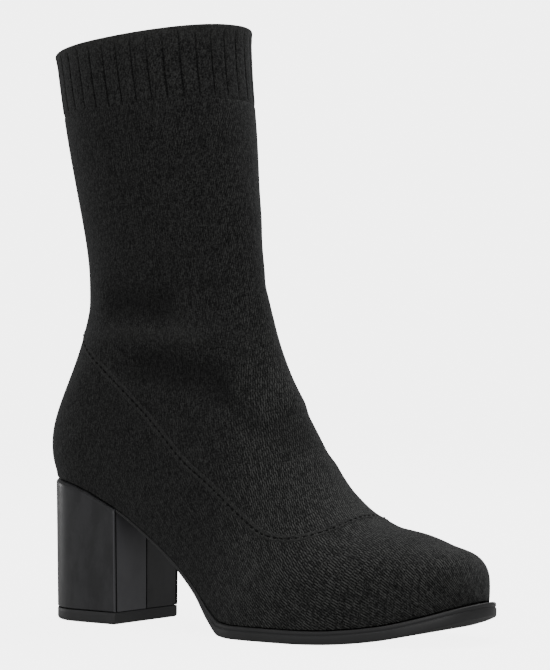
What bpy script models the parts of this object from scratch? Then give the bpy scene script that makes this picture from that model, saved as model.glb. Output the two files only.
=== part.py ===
"""Knit sock boot on a covered block heel, for the right foot.

The toe points along +X, the outer side of the foot faces -Y and +Z is up.
The origin is on the floor under the middle of the heel. Lengths are in metres.
"""
import math

import bmesh
import bpy
import numpy as np

# Last and shaft
FOOT_LENGTH = 0.233
BALL_WIDTH = 0.083
SEAT_WIDTH = 0.050
INSTEP_HEIGHT = 0.095
HEEL_HEIGHT = 0.070
TOE_SPRING = 0.0145
ANKLE_WIDTH = 0.0622
COLLAR_WIDTH = 0.0822
SHAFT_HEIGHT = 0.215

# Knit walls
WALL = 0.0022
CUFF_WALL = 0.0030
CUFF_HEIGHT = 0.038
CUFF_STEP = 0.0006

# Outsole
SOLE_EDGE = 0.0060
WAIST_EDGE = 0.0015
SOLE_LEDGE = 0.0019
WAIST_INSET = 0.0002
EDGE_GROOVE = 0.0004
EDGE_ROUND = 0.0006
WAIST_ROUND = 0.0002

# Heel
HEEL_LENGTH = 0.049
HEEL_FLARE = 0.0006
HEEL_TAPER = 0.0008
HEEL_RIM = 0.0016
LIFT_HEIGHT = 0.0058
LIFT_ROUND = 0.0008

# Insole
INSOLE_THICK = 0.0030
INSOLE_EDGE = 0.0008
INSOLE_CLEAR = 0.0009

# Clearances between neighbouring pieces, and mesh density round a section
GAP = 0.0003
UPPER_GAP = 0.0005
QUARTER_STEPS = 9

# Sole line: place along the foot, then the height of the feather edge above the
# forefoot as a share of the heel's rise and of the toe spring, then the outsole's
# thickness between the waist (0) and the forefoot (1) and its ledge in the same way
SOLE_COLUMNS = "along heel_share spring_share body ledge"
SOLE_LINE = [
    (0.000, 1.000, 0.00, 0.00, 0.0),
    (0.080, 0.955, 0.00, 0.00, 0.0),
    (0.205, 0.785, 0.00, 0.00, 0.0),
    (0.297, 0.600, 0.00, 0.03, 0.0),
    (0.380, 0.405, 0.00, 0.12, 0.1),
    (0.440, 0.235, 0.00, 0.30, 0.3),
    (0.485, 0.084, 0.00, 0.60, 0.6),
    (0.520, 0.012, 0.00, 0.88, 0.8),
    (0.560, 0.000, 0.00, 1.00, 1.0),
    (0.690, 0.000, 0.00, 1.00, 1.0),
    (0.750, 0.000, 0.02, 1.00, 1.0),
    (0.800, 0.000, 0.08, 1.00, 1.0),
    (0.870, 0.000, 0.23, 0.98, 1.0),
    (0.935, 0.000, 0.50, 0.93, 1.0),
    (1.000, 0.000, 0.88, 0.80, 1.0),
]

# Each foot section runs from the feather edge on the outer side over the crown to
# the inner side. steps: mesh rows up to the next section. along, crown: feather and
# crown along the foot. outer, inner: feather edge from the middle line. middle: the
# middle line's shift to the inner side. rise: crown above the feather. full_outer,
# full_inner: widest half widths. widest: their share of the height. low_round,
# top_round: exponents of the rounds below and above them
FOOT_COLUMNS = (
    "steps along outer inner middle crown rise full_outer full_inner widest low_round top_round"
)

# Toe tip to waist. Widths are shares of the ball width, rise of the instep height
FOREPART = [
    (1, 1.000, 0.000, 0.000, 0.072, 0.996, 0.060, 0.000, 0.000, 0.50, 2.20, 2.20),
    (1, 0.989, 0.133, 0.132, 0.067, 0.986, 0.171, 0.145, 0.144, 0.48, 2.20, 2.20),
    (2, 0.963, 0.240, 0.248, 0.053, 0.957, 0.261, 0.258, 0.266, 0.46, 2.30, 2.20),
    (2, 0.918, 0.337, 0.337, 0.036, 0.909, 0.341, 0.361, 0.361, 0.44, 2.40, 2.15),
    (2, 0.858, 0.416, 0.403, 0.019, 0.860, 0.417, 0.440, 0.433, 0.42, 2.40, 2.10),
    (2, 0.789, 0.469, 0.434, 0.005, 0.808, 0.464, 0.487, 0.465, 0.40, 2.40, 2.05),
    (2, 0.716, 0.504, 0.434, 0.000, 0.756, 0.517, 0.520, 0.470, 0.37, 2.40, 2.00),
    (2, 0.638, 0.512, 0.410, 0.000, 0.711, 0.600, 0.525, 0.452, 0.34, 2.30, 1.95),
    (3, 0.560, 0.498, 0.361, 0.000, 0.672, 0.729, 0.506, 0.422, 0.32, 2.30, 1.90),
    (3, 0.470, 0.422, 0.313, 0.000, 0.637, 0.802, 0.458, 0.392, 0.31, 2.20, 1.90),
    (3, 0.371, 0.361, 0.289, 0.000, 0.601, 0.753, 0.416, 0.380, 0.31, 2.20, 1.90),
]

# Waist to the back of the heel seat. The feather's widths are shares of the seat
# width, the full widths of the ankle width
BACKPART = [
    (3, 0.267, 0.536, 0.480, 0.000, 0.569, 0.721, 0.531, 0.498, 0.32, 2.20, 1.95),
    (2, 0.190, 0.512, 0.492, 0.000, 0.547, 0.733, 0.523, 0.506, 0.34, 2.15, 1.97),
    (2, 0.125, 0.500, 0.492, 0.000, 0.530, 0.773, 0.518, 0.506, 0.36, 2.15, 2.00),
    (2, 0.065, 0.456, 0.452, 0.000, 0.517, 0.833, 0.514, 0.506, 0.38, 2.20, 2.05),
    (1, 0.022, 0.316, 0.316, 0.000, 0.507, 0.905, 0.514, 0.506, 0.39, 2.32, 2.07),
    (1, 0.005, 0.160, 0.160, 0.000, 0.501, 0.959, 0.514, 0.506, 0.41, 2.40, 2.10),
    (1, 0.000, 0.000, 0.000, 0.000, 0.497, 1.000, 0.511, 0.506, 0.42, 2.42, 2.10),
]

# Heel curve to collar, closed sections. back, front: along the foot. back_rise: above
# the heel seat, as a share of the shaft height. front_rise: from the top of the instep
# (0) to the collar (1). spread: half width between the ankle's (0) and the collar's (1)
LEG_COLUMNS = "steps back back_rise front front_rise spread widest low_round top_round"
LEG = [
    (2, -0.010, 0.033, 0.493, 0.038, 0.05, 0.43, 2.38, 2.12),
    (2, -0.011, 0.088, 0.488, 0.101, 0.02, 0.45, 2.25, 2.15),
    (2, 0.015, 0.163, 0.482, 0.176, 0.00, 0.47, 2.12, 2.20),
    (2, 0.057, 0.260, 0.477, 0.267, 0.06, 0.49, 2.05, 2.20),
    (2, 0.087, 0.363, 0.471, 0.375, 0.17, 0.50, 2.10, 2.20),
    (3, 0.088, 0.474, 0.464, 0.500, 0.35, 0.50, 2.10, 2.20),
    (4, 0.069, 0.605, 0.455, 0.642, 0.62, 0.50, 2.15, 2.20),
    (4, 0.041, 0.767, 0.444, 0.824, 0.87, 0.50, 2.20, 2.20),
    (0, 0.014, 0.940, 0.435, 1.000, 1.00, 0.50, 2.20, 2.20),
]

# Outsole side, from its top edge down: share of the thickness, then the setback as
# shares of the edge's round and of the groove's depth
EDGE_COLUMNS = "down round groove"
EDGE_PROFILE = [
    (0.00, 1.0, 0.0),
    (0.08, 0.0, 0.0),
    (0.30, 0.0, 0.0),
    (0.34, 0.0, 1.0),
    (0.40, 0.0, 1.0),
    (0.44, 0.0, 0.0),
    (0.90, 0.0, 0.0),
    (1.00, 1.0, 0.0),
]


def columns(names, rows):
    """Give each named column of a table as an array."""
    return dict(zip(names.split(), np.array(rows, dtype=float).T))


SOLE = columns(SOLE_COLUMNS, SOLE_LINE)
FORE = columns(FOOT_COLUMNS, FOREPART)
BACK = columns(FOOT_COLUMNS, BACKPART)
SHAFT = columns(LEG_COLUMNS, LEG)
EDGE = columns(EDGE_COLUMNS, EDGE_PROFILE)
HEEL_ROW = len(FOREPART) + len(BACKPART) - 1
COLLAR_ROW = HEEL_ROW + len(LEG)
MIRRORED = 4


def monotone(xs, ys, x):
    """Interpolate without overshoot, so that level stretches stay level."""
    step = np.diff(xs)
    slope = np.diff(ys) / step
    tangent = np.zeros(len(xs))
    for i in range(1, len(xs) - 1):
        if slope[i - 1] * slope[i] > 0.0:
            before = 2.0 * step[i] + step[i - 1]
            after = step[i] + 2.0 * step[i - 1]
            tangent[i] = (before + after) / (before / slope[i - 1] + after / slope[i])
    tangent[0] = slope[0]
    tangent[-1] = slope[-1]
    x = np.clip(x, xs[0], xs[-1])
    i = np.clip(np.searchsorted(xs, x, side="right") - 1, 0, len(step) - 1)
    t = (x - xs[i]) / step[i]
    start = (1 + 2 * t) * (1 - t) ** 2 * ys[i] + t * (1 - t) ** 2 * step[i] * tangent[i]
    end = t * t * (3 - 2 * t) * ys[i + 1] + t * t * (t - 1) * step[i] * tangent[i + 1]
    return start + end


class Spline:
    """Natural cubic spline through values at whole row numbers."""

    def __init__(self, values, first_row=0):
        self.values = np.asarray(values, dtype=float)
        self.first_row = first_row
        count = len(self.values)
        matrix = np.eye(count)
        right = np.zeros(count)
        for i in range(1, count - 1):
            matrix[i, i - 1:i + 2] = (1.0, 4.0, 1.0)
            right[i] = 6.0 * (self.values[i - 1] - 2.0 * self.values[i] + self.values[i + 1])
        self.bend = np.linalg.solve(matrix, right)

    def __call__(self, row):
        place = row - self.first_row
        i = int(min(max(math.floor(place), 0), len(self.values) - 2))
        t = place - i
        left, right = self.values[i], self.values[i + 1]
        bend_left, bend_right = self.bend[i], self.bend[i + 1]
        line = (1 - t) * left + t * right
        return line + ((1 - t) ** 3 - (1 - t)) * bend_left / 6 + (t ** 3 - t) * bend_right / 6


def seat_height(x):
    """Height of the feather edge, where the upper meets the outsole."""
    share = x / FOOT_LENGTH
    heel = monotone(SOLE["along"], SOLE["heel_share"], share)
    spring = monotone(SOLE["along"], SOLE["spring_share"], share)
    return SOLE_EDGE + (HEEL_HEIGHT - SOLE_EDGE) * heel + TOE_SPRING * spring


def sole_thickness(x):
    """Thickness of the outsole."""
    return WAIST_EDGE + (SOLE_EDGE - WAIST_EDGE) * monotone(SOLE["along"], SOLE["body"], x / FOOT_LENGTH)


def sole_ledge(x):
    """How far the outsole stands out past the feather edge."""
    if x <= HEEL_LENGTH + GAP:
        return -(HEEL_RIM + 2 * GAP)
    return -WAIST_INSET + (SOLE_LEDGE + WAIST_INSET) * monotone(SOLE["along"], SOLE["ledge"], x / FOOT_LENGTH)


def foot_column(name, fore_size, back_size):
    """Join a column of the forepart and the backpart at their real sizes."""
    return np.concatenate([FORE[name] * fore_size, BACK[name] * back_size])


def mirrored_ends(values, before, after):
    """Lengthen a row column past the toe tip and the heel back with its twin's rows."""
    head = before[1:MIRRORED + 1][::-1]
    tail = after[-MIRRORED - 1:-1][::-1]
    return np.concatenate([head, values, tail])


def make_splines():
    """Work out the splines that every section is read from."""
    along = foot_column("along", FOOT_LENGTH, FOOT_LENGTH)
    middle = foot_column("middle", BALL_WIDTH, BALL_WIDTH)
    outer = middle - foot_column("outer", BALL_WIDTH, SEAT_WIDTH)
    inner = middle + foot_column("inner", BALL_WIDTH, SEAT_WIDTH)
    crown = foot_column("crown", FOOT_LENGTH, FOOT_LENGTH)
    rise = foot_column("rise", INSTEP_HEIGHT, INSTEP_HEIGHT)
    full_outer = foot_column("full_outer", BALL_WIDTH, ANKLE_WIDTH)
    full_inner = foot_column("full_inner", BALL_WIDTH, ANKLE_WIDTH)
    half = (ANKLE_WIDTH + (COLLAR_WIDTH - ANKLE_WIDTH) * SHAFT["spread"]) / 2
    leg_front = SHAFT["front"] * FOOT_LENGTH
    leg_front_z = HEEL_HEIGHT + INSTEP_HEIGHT + SHAFT["front_rise"] * (SHAFT_HEIGHT - INSTEP_HEIGHT)
    leg_back_z = HEEL_HEIGHT + SHAFT["back_rise"] * SHAFT_HEIGHT
    crown_z = np.concatenate([seat_height(along) + rise, leg_front_z])
    past_toe = slice(1, MIRRORED + 1)

    def over_toe(values, twin):
        return np.concatenate([twin[past_toe][::-1], values])

    return {
        "along": Spline(mirrored_ends(along, along, along), -MIRRORED),
        "outer": Spline(mirrored_ends(outer, inner, inner), -MIRRORED),
        "inner": Spline(mirrored_ends(inner, outer, outer), -MIRRORED),
        "middle": Spline(mirrored_ends(middle, middle, middle), -MIRRORED),
        "crown": Spline(over_toe(np.concatenate([crown, leg_front]), crown), -MIRRORED),
        "crown_z": Spline(crown_z),
        "full_outer": Spline(over_toe(np.concatenate([full_outer, half]), -full_inner), -MIRRORED),
        "full_inner": Spline(over_toe(np.concatenate([full_inner, half]), -full_outer), -MIRRORED),
        "widest": Spline(np.concatenate([FORE["widest"], BACK["widest"], SHAFT["widest"]])),
        "low_round": Spline(np.concatenate([FORE["low_round"], BACK["low_round"], SHAFT["low_round"]])),
        "top_round": Spline(np.concatenate([FORE["top_round"], BACK["top_round"], SHAFT["top_round"]])),
        "back": Spline(np.concatenate([[0.0], SHAFT["back"] * FOOT_LENGTH]), HEEL_ROW),
        "back_z": Spline(np.concatenate([[HEEL_HEIGHT], leg_back_z]), HEEL_ROW),
    }


SPLINES = make_splines()


def mesh_rows():
    """Row numbers of the mesh, from the toe tip to the collar."""
    steps = np.concatenate([FORE["steps"], BACK["steps"], SHAFT["steps"]]).astype(int)
    rows = [i + k / count for i, count in enumerate(steps) for k in range(count)]
    return rows + [float(COLLAR_ROW)]


def foot_rows():
    """Row numbers on the feather edge, with one at the heel breast and one just past it."""
    rows = [row for row in mesh_rows() if row <= HEEL_ROW]
    return sorted(rows + [row_at(HEEL_LENGTH), row_at(HEEL_LENGTH + HEEL_RIM)])


def row_at(along):
    """Row number in the back of the foot whose feather point lies at a place along it."""
    low, high = float(len(FOREPART) - 1), float(HEEL_ROW)
    while high - low > 1e-9:
        centre = (low + high) / 2
        if SPLINES["along"](centre) > along:
            low = centre
        else:
            high = centre
    return high


def half_section(feather, full, widest, low_round, top_round):
    """Points (share of the height, half width) of one side, from the bottom to the crown."""
    ratio = 0.0 if full <= 0.0 else min(max(feather / full, 0.0), 0.9995)
    start = math.asin(ratio ** (low_round / 2))
    points = []
    for i in range(QUARTER_STEPS):
        angle = start + (math.pi / 2 - start) * i / QUARTER_STEPS
        height = widest * (1 - (math.cos(angle) / math.cos(start)) ** (2 / low_round))
        points.append((height, max(full, 0.0) * math.sin(angle) ** (2 / low_round)))
    for i in range(QUARTER_STEPS + 1):
        angle = math.pi / 2 * i / QUARTER_STEPS
        height = widest + (1 - widest) * math.sin(angle) ** (2 / top_round)
        points.append((height, max(full, 0.0) * max(math.cos(angle), 0.0) ** (2 / top_round)))
    return points


def section(row):
    """Points of one section, from the outer bottom edge over the crown to the inner one."""
    names = ("full_outer", "full_inner", "widest", "low_round", "top_round")
    full_outer, full_inner, widest, low_round, top_round = (SPLINES[name](row) for name in names)
    if row <= HEEL_ROW:
        low_x = SPLINES["along"](row)
        low_z = float(seat_height(low_x))
        middle = SPLINES["middle"](row)
        feather_outer = middle - SPLINES["outer"](row)
        feather_inner = SPLINES["inner"](row) - middle
    else:
        low_x = SPLINES["back"](row)
        low_z = SPLINES["back_z"](row)
        middle = feather_outer = feather_inner = 0.0
    top_x = SPLINES["crown"](row)
    top_z = SPLINES["crown_z"](row)
    outer_side = half_section(feather_outer, full_outer, widest, low_round, top_round)
    inner_side = half_section(feather_inner, full_inner, widest, low_round, top_round)
    flat = [(height, middle - width) for height, width in outer_side]
    flat += [(height, middle + width) for height, width in inner_side[-2::-1]]
    return [(low_x + (top_x - low_x) * t, y, low_z + (top_z - low_z) * t) for t, y in flat]


def cuff_share(x, z):
    """How far a place is inside the ribbed cuff: 0 below it, 1 on it, with a short ramp."""
    back_x = SHAFT["back"][-1] * FOOT_LENGTH
    back_z = HEEL_HEIGHT + SHAFT["back_rise"][-1] * SHAFT_HEIGHT
    front_x = SHAFT["front"][-1] * FOOT_LENGTH
    front_z = HEEL_HEIGHT + SHAFT_HEIGHT
    rim_z = back_z + (front_z - back_z) * (x - back_x) / (front_x - back_x)
    ramp = CUFF_HEIGHT / 6
    return min(max((CUFF_HEIGHT + ramp / 2 - (rim_z - z)) / ramp, 0.0), 1.0)


def upper_skin():
    """Grid of points of the outer skin, one list a row, just clear of the outsole."""
    middle = (SHAFT["back"][-1] + SHAFT["front"][-1]) / 2 * FOOT_LENGTH
    grid = []
    for row in mesh_rows():
        points = []
        for x, y, z in section(row):
            pull = 1.0 - CUFF_STEP * cuff_share(x, z) / math.hypot(x - middle, y)
            points.append((middle + (x - middle) * pull, y * pull, z + UPPER_GAP))
        grid.append(points)
    return grid


def feather(rows):
    """Feather edge in plan: outer side from the first row to the last, inner side back."""
    outer = [(SPLINES["along"](row), SPLINES["outer"](row)) for row in rows]
    inner = [(SPLINES["along"](row), SPLINES["inner"](row)) for row in rows]
    return np.array(outer), np.array(inner)


def shifted(ring, distances):
    """Move each point of a closed plan outline outward by its own distance."""
    ring = np.asarray(ring)
    chord = np.roll(ring, -1, axis=0) - np.roll(ring, 1, axis=0)
    normal = np.column_stack([-chord[:, 1], chord[:, 0]])
    normal /= np.linalg.norm(normal, axis=1)[:, None]
    return ring + normal * np.asarray(distances)[:, None]


def closed_ring(rows):
    """Whole feather edge as one closed outline, toe tip and heel back once each."""
    outer, inner = feather(rows)
    return np.concatenate([outer, inner[-2:0:-1]])


def heel_ring(inset):
    """Outline of the heel block, moved in from the feather edge, with its breast corners."""
    rows = [row for row in foot_rows() if row >= row_at(HEEL_LENGTH)]
    outer, inner = feather(rows)
    ring = np.concatenate([outer, inner[-2::-1]])
    moved = shifted(ring, np.full(len(ring), -inset))
    side = [0, -1]
    moved[side, 0] = HEEL_LENGTH
    moved[0, 1] = outer[0, 1] + inset
    moved[-1, 1] = inner[0, 1] - inset
    return moved


def new_object(name, vertices, faces, material, collection):
    """Make a mesh object with its normals pointing out, its origin over the heel's middle."""
    mesh = bpy.data.meshes.new(name)
    mesh.from_pydata([tuple(map(float, point)) for point in vertices], [], faces)
    edit = bmesh.new()
    edit.from_mesh(mesh)
    bmesh.ops.remove_doubles(edit, verts=edit.verts, dist=0.00001)
    bmesh.ops.dissolve_degenerate(edit, edges=edit.edges, dist=0.00001)
    bmesh.ops.translate(edit, verts=edit.verts, vec=(-HEEL_LENGTH / 2, 0.0, 0.0))
    bmesh.ops.recalc_face_normals(edit, faces=edit.faces)
    edit.to_mesh(mesh)
    edit.free()
    mesh.materials.append(material)
    mesh.shade_smooth()
    mesh.set_sharp_from_angle(angle=math.radians(40))
    item = bpy.data.objects.new(name, mesh)
    collection.objects.link(item)
    return item


def new_material(name, colour, roughness):
    """Plain Principled material."""
    material = bpy.data.materials.new(name)
    material.use_nodes = True
    shader = material.node_tree.nodes["Principled BSDF"]
    shader.inputs["Base Color"].default_value = (*colour, 1.0)
    shader.inputs["Roughness"].default_value = roughness
    shader.inputs["Metallic"].default_value = 0.0
    return material


def strips(first, second, closed):
    """Quads between two rows of vertex numbers of the same length."""
    count = len(first) if closed else len(first) - 1
    return [
        (first[i], first[(i + 1) % len(first)], second[(i + 1) % len(first)], second[i])
        for i in range(count)
    ]


def ladder(ring, pointed):
    """Rungs across a ring of vertex numbers, from its first point to its far end.

    pointed: the ring starts with one point; if not, it starts with a straight edge.
    """
    count = len(ring)
    twins = [ring[-i % count] if pointed else ring[count - 1 - i] for i in range(count)]
    faces = []
    for i in range(count // 2):
        corners = [ring[i], ring[i + 1], twins[i + 1], twins[i]]
        faces.append(tuple(dict.fromkeys(corners)))
    return faces


def loft(name, rings, start, material, collection):
    """Solid through plan rings of equal count, closed at both ends by rungs.

    start: "pointed" for rings that start with one point, "straight" for rings that
    start with a straight edge, "faced" where those edges share one flat end face.
    """
    count = len(rings[0])
    numbers = [list(range(k * count, (k + 1) * count)) for k in range(len(rings))]
    faces = []
    for below, above in zip(numbers, numbers[1:]):
        faces += strips(below, above, closed=start != "faced")
    if start == "faced":
        firsts = [ring[0] for ring in numbers]
        lasts = [ring[-1] for ring in numbers]
        faces.append(tuple(firsts + lasts[::-1]))
    faces += ladder(numbers[0], start == "pointed")
    faces += ladder(numbers[-1], start == "pointed")
    vertices = [point for ring in rings for point in ring]
    return new_object(name, vertices, faces, material, collection)


def build_upper(material, collection):
    """Knit foot, shaft and cuff as one open shell: an outer skin with a wall inside it."""
    grid = upper_skin()
    width = len(grid[0])
    vertices = [point for row in grid for point in row]
    faces = []
    for i in range(len(grid) - 1):
        first = list(range(i * width, (i + 1) * width))
        second = list(range((i + 1) * width, (i + 2) * width))
        faces += strips(first, second, closed=False)
    upper = new_object("upper", vertices, faces, material, collection)
    group = upper.vertex_groups.new(name="doubled_cuff")
    for vertex in upper.data.vertices:
        share = cuff_share(vertex.co.x + HEEL_LENGTH / 2, vertex.co.z)
        group.add([vertex.index], share, "REPLACE")
    shell = upper.modifiers.new("wall", "SOLIDIFY")
    shell.thickness = CUFF_WALL
    shell.offset = -1.0
    shell.use_even_offset = True
    shell.vertex_group = group.name
    shell.thickness_vertex_group = WALL / CUFF_WALL
    return upper


def build_outsole(material, collection):
    """Rubber sole from the toe to the heel seat, with its grooved edge."""
    ring = closed_ring(foot_rows())
    ledges = np.array([sole_ledge(x) for x in ring[:, 0]])
    thick = sole_thickness(ring[:, 0])
    body = (thick - WAIST_EDGE) / (SOLE_EDGE - WAIST_EDGE)
    levels = []
    for down, edge_round, groove in zip(EDGE["down"], EDGE["round"], EDGE["groove"]):
        corner = edge_round * (WAIST_ROUND + (EDGE_ROUND - WAIST_ROUND) * body)
        plan = shifted(ring, ledges - corner - groove * EDGE_GROOVE * body)
        height = seat_height(ring[:, 0]) - thick * down
        levels.append(np.column_stack([plan, height]))
    return loft("outsole", levels, "pointed", material, collection)


def build_insole(material, collection):
    """Footbed that fills the foot of the upper, just clear of its wall."""
    ring = closed_ring(foot_rows())
    inset = WALL + INSOLE_CLEAR
    bottom = shifted(ring, np.full(len(ring), -(inset + INSOLE_EDGE)))
    side = shifted(ring, np.full(len(ring), -inset))
    base = seat_height(ring[:, 0]) + GAP
    levels = [
        np.column_stack([bottom, base]),
        np.column_stack([side, base + INSOLE_EDGE]),
        np.column_stack([side, base + INSOLE_THICK - INSOLE_EDGE]),
        np.column_stack([bottom, base + INSOLE_THICK]),
    ]
    return loft("insole", levels, "pointed", material, collection)


def build_heel_block(material, collection):
    """Covered block with a raised rim round the seat that the sole lies in."""
    foot = heel_ring(-HEEL_FLARE + HEEL_TAPER)
    head = heel_ring(-HEEL_FLARE)
    rim = heel_ring(HEEL_RIM)
    rim[[0, -1], 0] = HEEL_LENGTH
    dish = seat_height(rim[:, 0]) - sole_thickness(rim[:, 0]) - GAP
    levels = [
        np.column_stack([foot, np.full(len(foot), LIFT_HEIGHT + GAP)]),
        np.column_stack([head, seat_height(head[:, 0]) - GAP]),
        np.column_stack([rim, seat_height(rim[:, 0]) - GAP]),
        np.column_stack([rim, dish]),
    ]
    return loft("heel_block", levels, "faced", material, collection)


def build_top_lift(material, collection):
    """Rubber top piece under the heel, with its lower edge rounded off."""
    side = heel_ring(-HEEL_FLARE + HEEL_TAPER)
    foot = heel_ring(-HEEL_FLARE + HEEL_TAPER + LIFT_ROUND)
    foot[[0, -1], 0] = HEEL_LENGTH - LIFT_ROUND
    levels = [
        np.column_stack([foot, np.zeros(len(foot))]),
        np.column_stack([side, np.full(len(side), LIFT_ROUND)]),
        np.column_stack([side, np.full(len(side), LIFT_HEIGHT)]),
    ]
    return loft("top_lift", levels, "straight", material, collection)


def main():
    """Clear the scene and build the five pieces."""
    for item in list(bpy.data.objects):
        bpy.data.objects.remove(item, do_unlink=True)
    boot = bpy.data.collections.new("sock_boot")
    bpy.context.scene.collection.children.link(boot)
    knit = new_material("black_knit", (0.012, 0.012, 0.012), 0.85)
    rubber = new_material("black_rubber", (0.018, 0.018, 0.019), 0.55)
    cover = new_material("heel_cover", (0.030, 0.030, 0.032), 0.45)
    footbed = new_material("footbed", (0.020, 0.020, 0.020), 0.80)
    build_upper(knit, boot)
    build_outsole(rubber, boot)
    build_insole(footbed, boot)
    build_heel_block(cover, boot)
    build_top_lift(rubber, boot)


main()
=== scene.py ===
"""Knit sock boot on a covered block heel, right foot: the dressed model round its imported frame.

The toe points along +X, the outer side of the foot faces -Y and +Z is up. Lengths are in metres.
A place on the knit is given as a row and a share. Rows count from the toe tip (0) over the
heel's back (17) to the collar (26). The share is the way round a row, from the middle line on
the instep and the front of the leg (0) to the sole or the back of the leg (1), and it is
below 0 on the outer side.
"""

import math

import bmesh
import bpy
import numpy as np
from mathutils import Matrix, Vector
from mathutils.kdtree import KDTree


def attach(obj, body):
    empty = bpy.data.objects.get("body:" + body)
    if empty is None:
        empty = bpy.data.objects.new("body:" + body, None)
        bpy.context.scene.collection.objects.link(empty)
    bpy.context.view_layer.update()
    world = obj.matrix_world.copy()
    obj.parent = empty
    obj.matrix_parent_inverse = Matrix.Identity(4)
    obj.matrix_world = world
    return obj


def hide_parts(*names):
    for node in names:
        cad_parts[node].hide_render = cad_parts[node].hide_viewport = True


bl_info = {
    "name": "Knit Sock Boot",
    "version": (1, 0, 0),
    "blender": (4, 5, 0),
    "location": "3D View > Sidebar > Sock Boot",
    "description": "Builds a knit sock boot with a ribbed cuff and a covered block heel",
    "category": "Add Mesh",
}

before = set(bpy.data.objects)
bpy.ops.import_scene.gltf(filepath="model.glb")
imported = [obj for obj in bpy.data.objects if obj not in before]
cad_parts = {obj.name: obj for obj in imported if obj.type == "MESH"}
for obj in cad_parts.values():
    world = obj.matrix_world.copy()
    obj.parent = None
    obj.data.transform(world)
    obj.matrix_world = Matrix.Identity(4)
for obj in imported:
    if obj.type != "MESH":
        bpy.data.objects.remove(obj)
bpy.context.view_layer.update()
BODY = "root"

# Last and shaft: the sizes and tables of the solids, trimmed by up to 1 mm at the front of
# the leg and at the edge of the sole
FOOT_LENGTH = 0.233
BALL_WIDTH = 0.083
SEAT_WIDTH = 0.050
INSTEP_HEIGHT = 0.095
HEEL_HEIGHT = 0.070
TOE_SPRING = 0.0145
ANKLE_WIDTH = 0.0622
COLLAR_WIDTH = 0.0822
SHAFT_HEIGHT = 0.215
SOLE_EDGE = 0.0060
WAIST_EDGE = 0.0015
SOLE_LEDGE = 0.0019
WAIST_INSET = 0.0002
HEEL_LENGTH = 0.049
HEEL_FLARE = 0.0006
HEEL_TAPER = 0.0008
HEEL_RIM = 0.0016
LIFT_HEIGHT = 0.0058
GAP = 0.0003
UPPER_GAP = 0.0005
WALL = 0.0022

SOLE_COLUMNS = "along heel_share spring_share body ledge"
SOLE_LINE = [
    (0.000, 1.000, 0.00, 0.00, 0.0),
    (0.080, 0.955, 0.00, 0.00, 0.0),
    (0.205, 0.785, 0.00, 0.00, 0.0),
    (0.297, 0.600, 0.00, 0.03, 0.0),
    (0.380, 0.405, 0.00, 0.12, 0.1),
    (0.440, 0.235, 0.00, 0.34, 0.3),
    (0.485, 0.084, 0.00, 0.76, 0.6),
    (0.520, 0.012, 0.00, 1.05, 0.8),
    (0.560, 0.000, 0.00, 1.00, 1.0),
    (0.690, 0.000, 0.00, 1.00, 1.0),
    (0.750, 0.000, 0.02, 1.00, 1.0),
    (0.800, 0.000, 0.08, 1.04, 1.0),
    (0.870, 0.000, 0.23, 1.08, 1.0),
    (0.935, 0.000, 0.50, 1.13, 1.1),
    (1.000, 0.000, 0.88, 1.14, 1.8),
]
FOOT_COLUMNS = "along outer inner middle crown rise full_outer full_inner widest low_round top_round"
FOREPART = [
    (1.000, 0.000, 0.000, 0.072, 0.996, 0.060, 0.000, 0.000, 0.50, 2.20, 2.20),
    (0.989, 0.133, 0.132, 0.067, 0.986, 0.171, 0.145, 0.144, 0.48, 2.20, 2.20),
    (0.963, 0.240, 0.248, 0.053, 0.957, 0.261, 0.258, 0.266, 0.46, 2.30, 2.20),
    (0.918, 0.337, 0.337, 0.036, 0.909, 0.341, 0.361, 0.361, 0.44, 2.40, 2.15),
    (0.858, 0.416, 0.403, 0.019, 0.860, 0.417, 0.440, 0.433, 0.42, 2.40, 2.10),
    (0.789, 0.469, 0.434, 0.005, 0.808, 0.464, 0.487, 0.465, 0.40, 2.40, 2.05),
    (0.716, 0.504, 0.434, 0.000, 0.756, 0.517, 0.520, 0.470, 0.37, 2.40, 2.00),
    (0.638, 0.512, 0.410, 0.000, 0.711, 0.600, 0.525, 0.452, 0.34, 2.30, 1.95),
    (0.560, 0.498, 0.361, 0.000, 0.672, 0.729, 0.506, 0.422, 0.32, 2.30, 1.90),
    (0.470, 0.422, 0.313, 0.000, 0.637, 0.802, 0.458, 0.392, 0.31, 2.20, 1.90),
    (0.371, 0.361, 0.289, 0.000, 0.601, 0.753, 0.416, 0.380, 0.31, 2.20, 1.90),
]
BACKPART = [
    (0.267, 0.536, 0.480, 0.000, 0.569, 0.721, 0.531, 0.498, 0.32, 2.20, 1.95),
    (0.190, 0.512, 0.492, 0.000, 0.547, 0.733, 0.523, 0.506, 0.34, 2.15, 1.97),
    (0.125, 0.500, 0.492, 0.000, 0.530, 0.773, 0.518, 0.506, 0.36, 2.15, 2.00),
    (0.065, 0.456, 0.452, 0.000, 0.517, 0.833, 0.514, 0.506, 0.38, 2.20, 2.05),
    (0.022, 0.316, 0.316, 0.000, 0.507, 0.905, 0.514, 0.506, 0.39, 2.32, 2.07),
    (0.005, 0.160, 0.160, 0.000, 0.501, 0.959, 0.514, 0.506, 0.41, 2.40, 2.10),
    (0.000, 0.000, 0.000, 0.000, 0.497, 1.000, 0.511, 0.506, 0.42, 2.42, 2.10),
]
LEG_COLUMNS = "back back_rise front front_rise spread widest low_round top_round"
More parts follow.
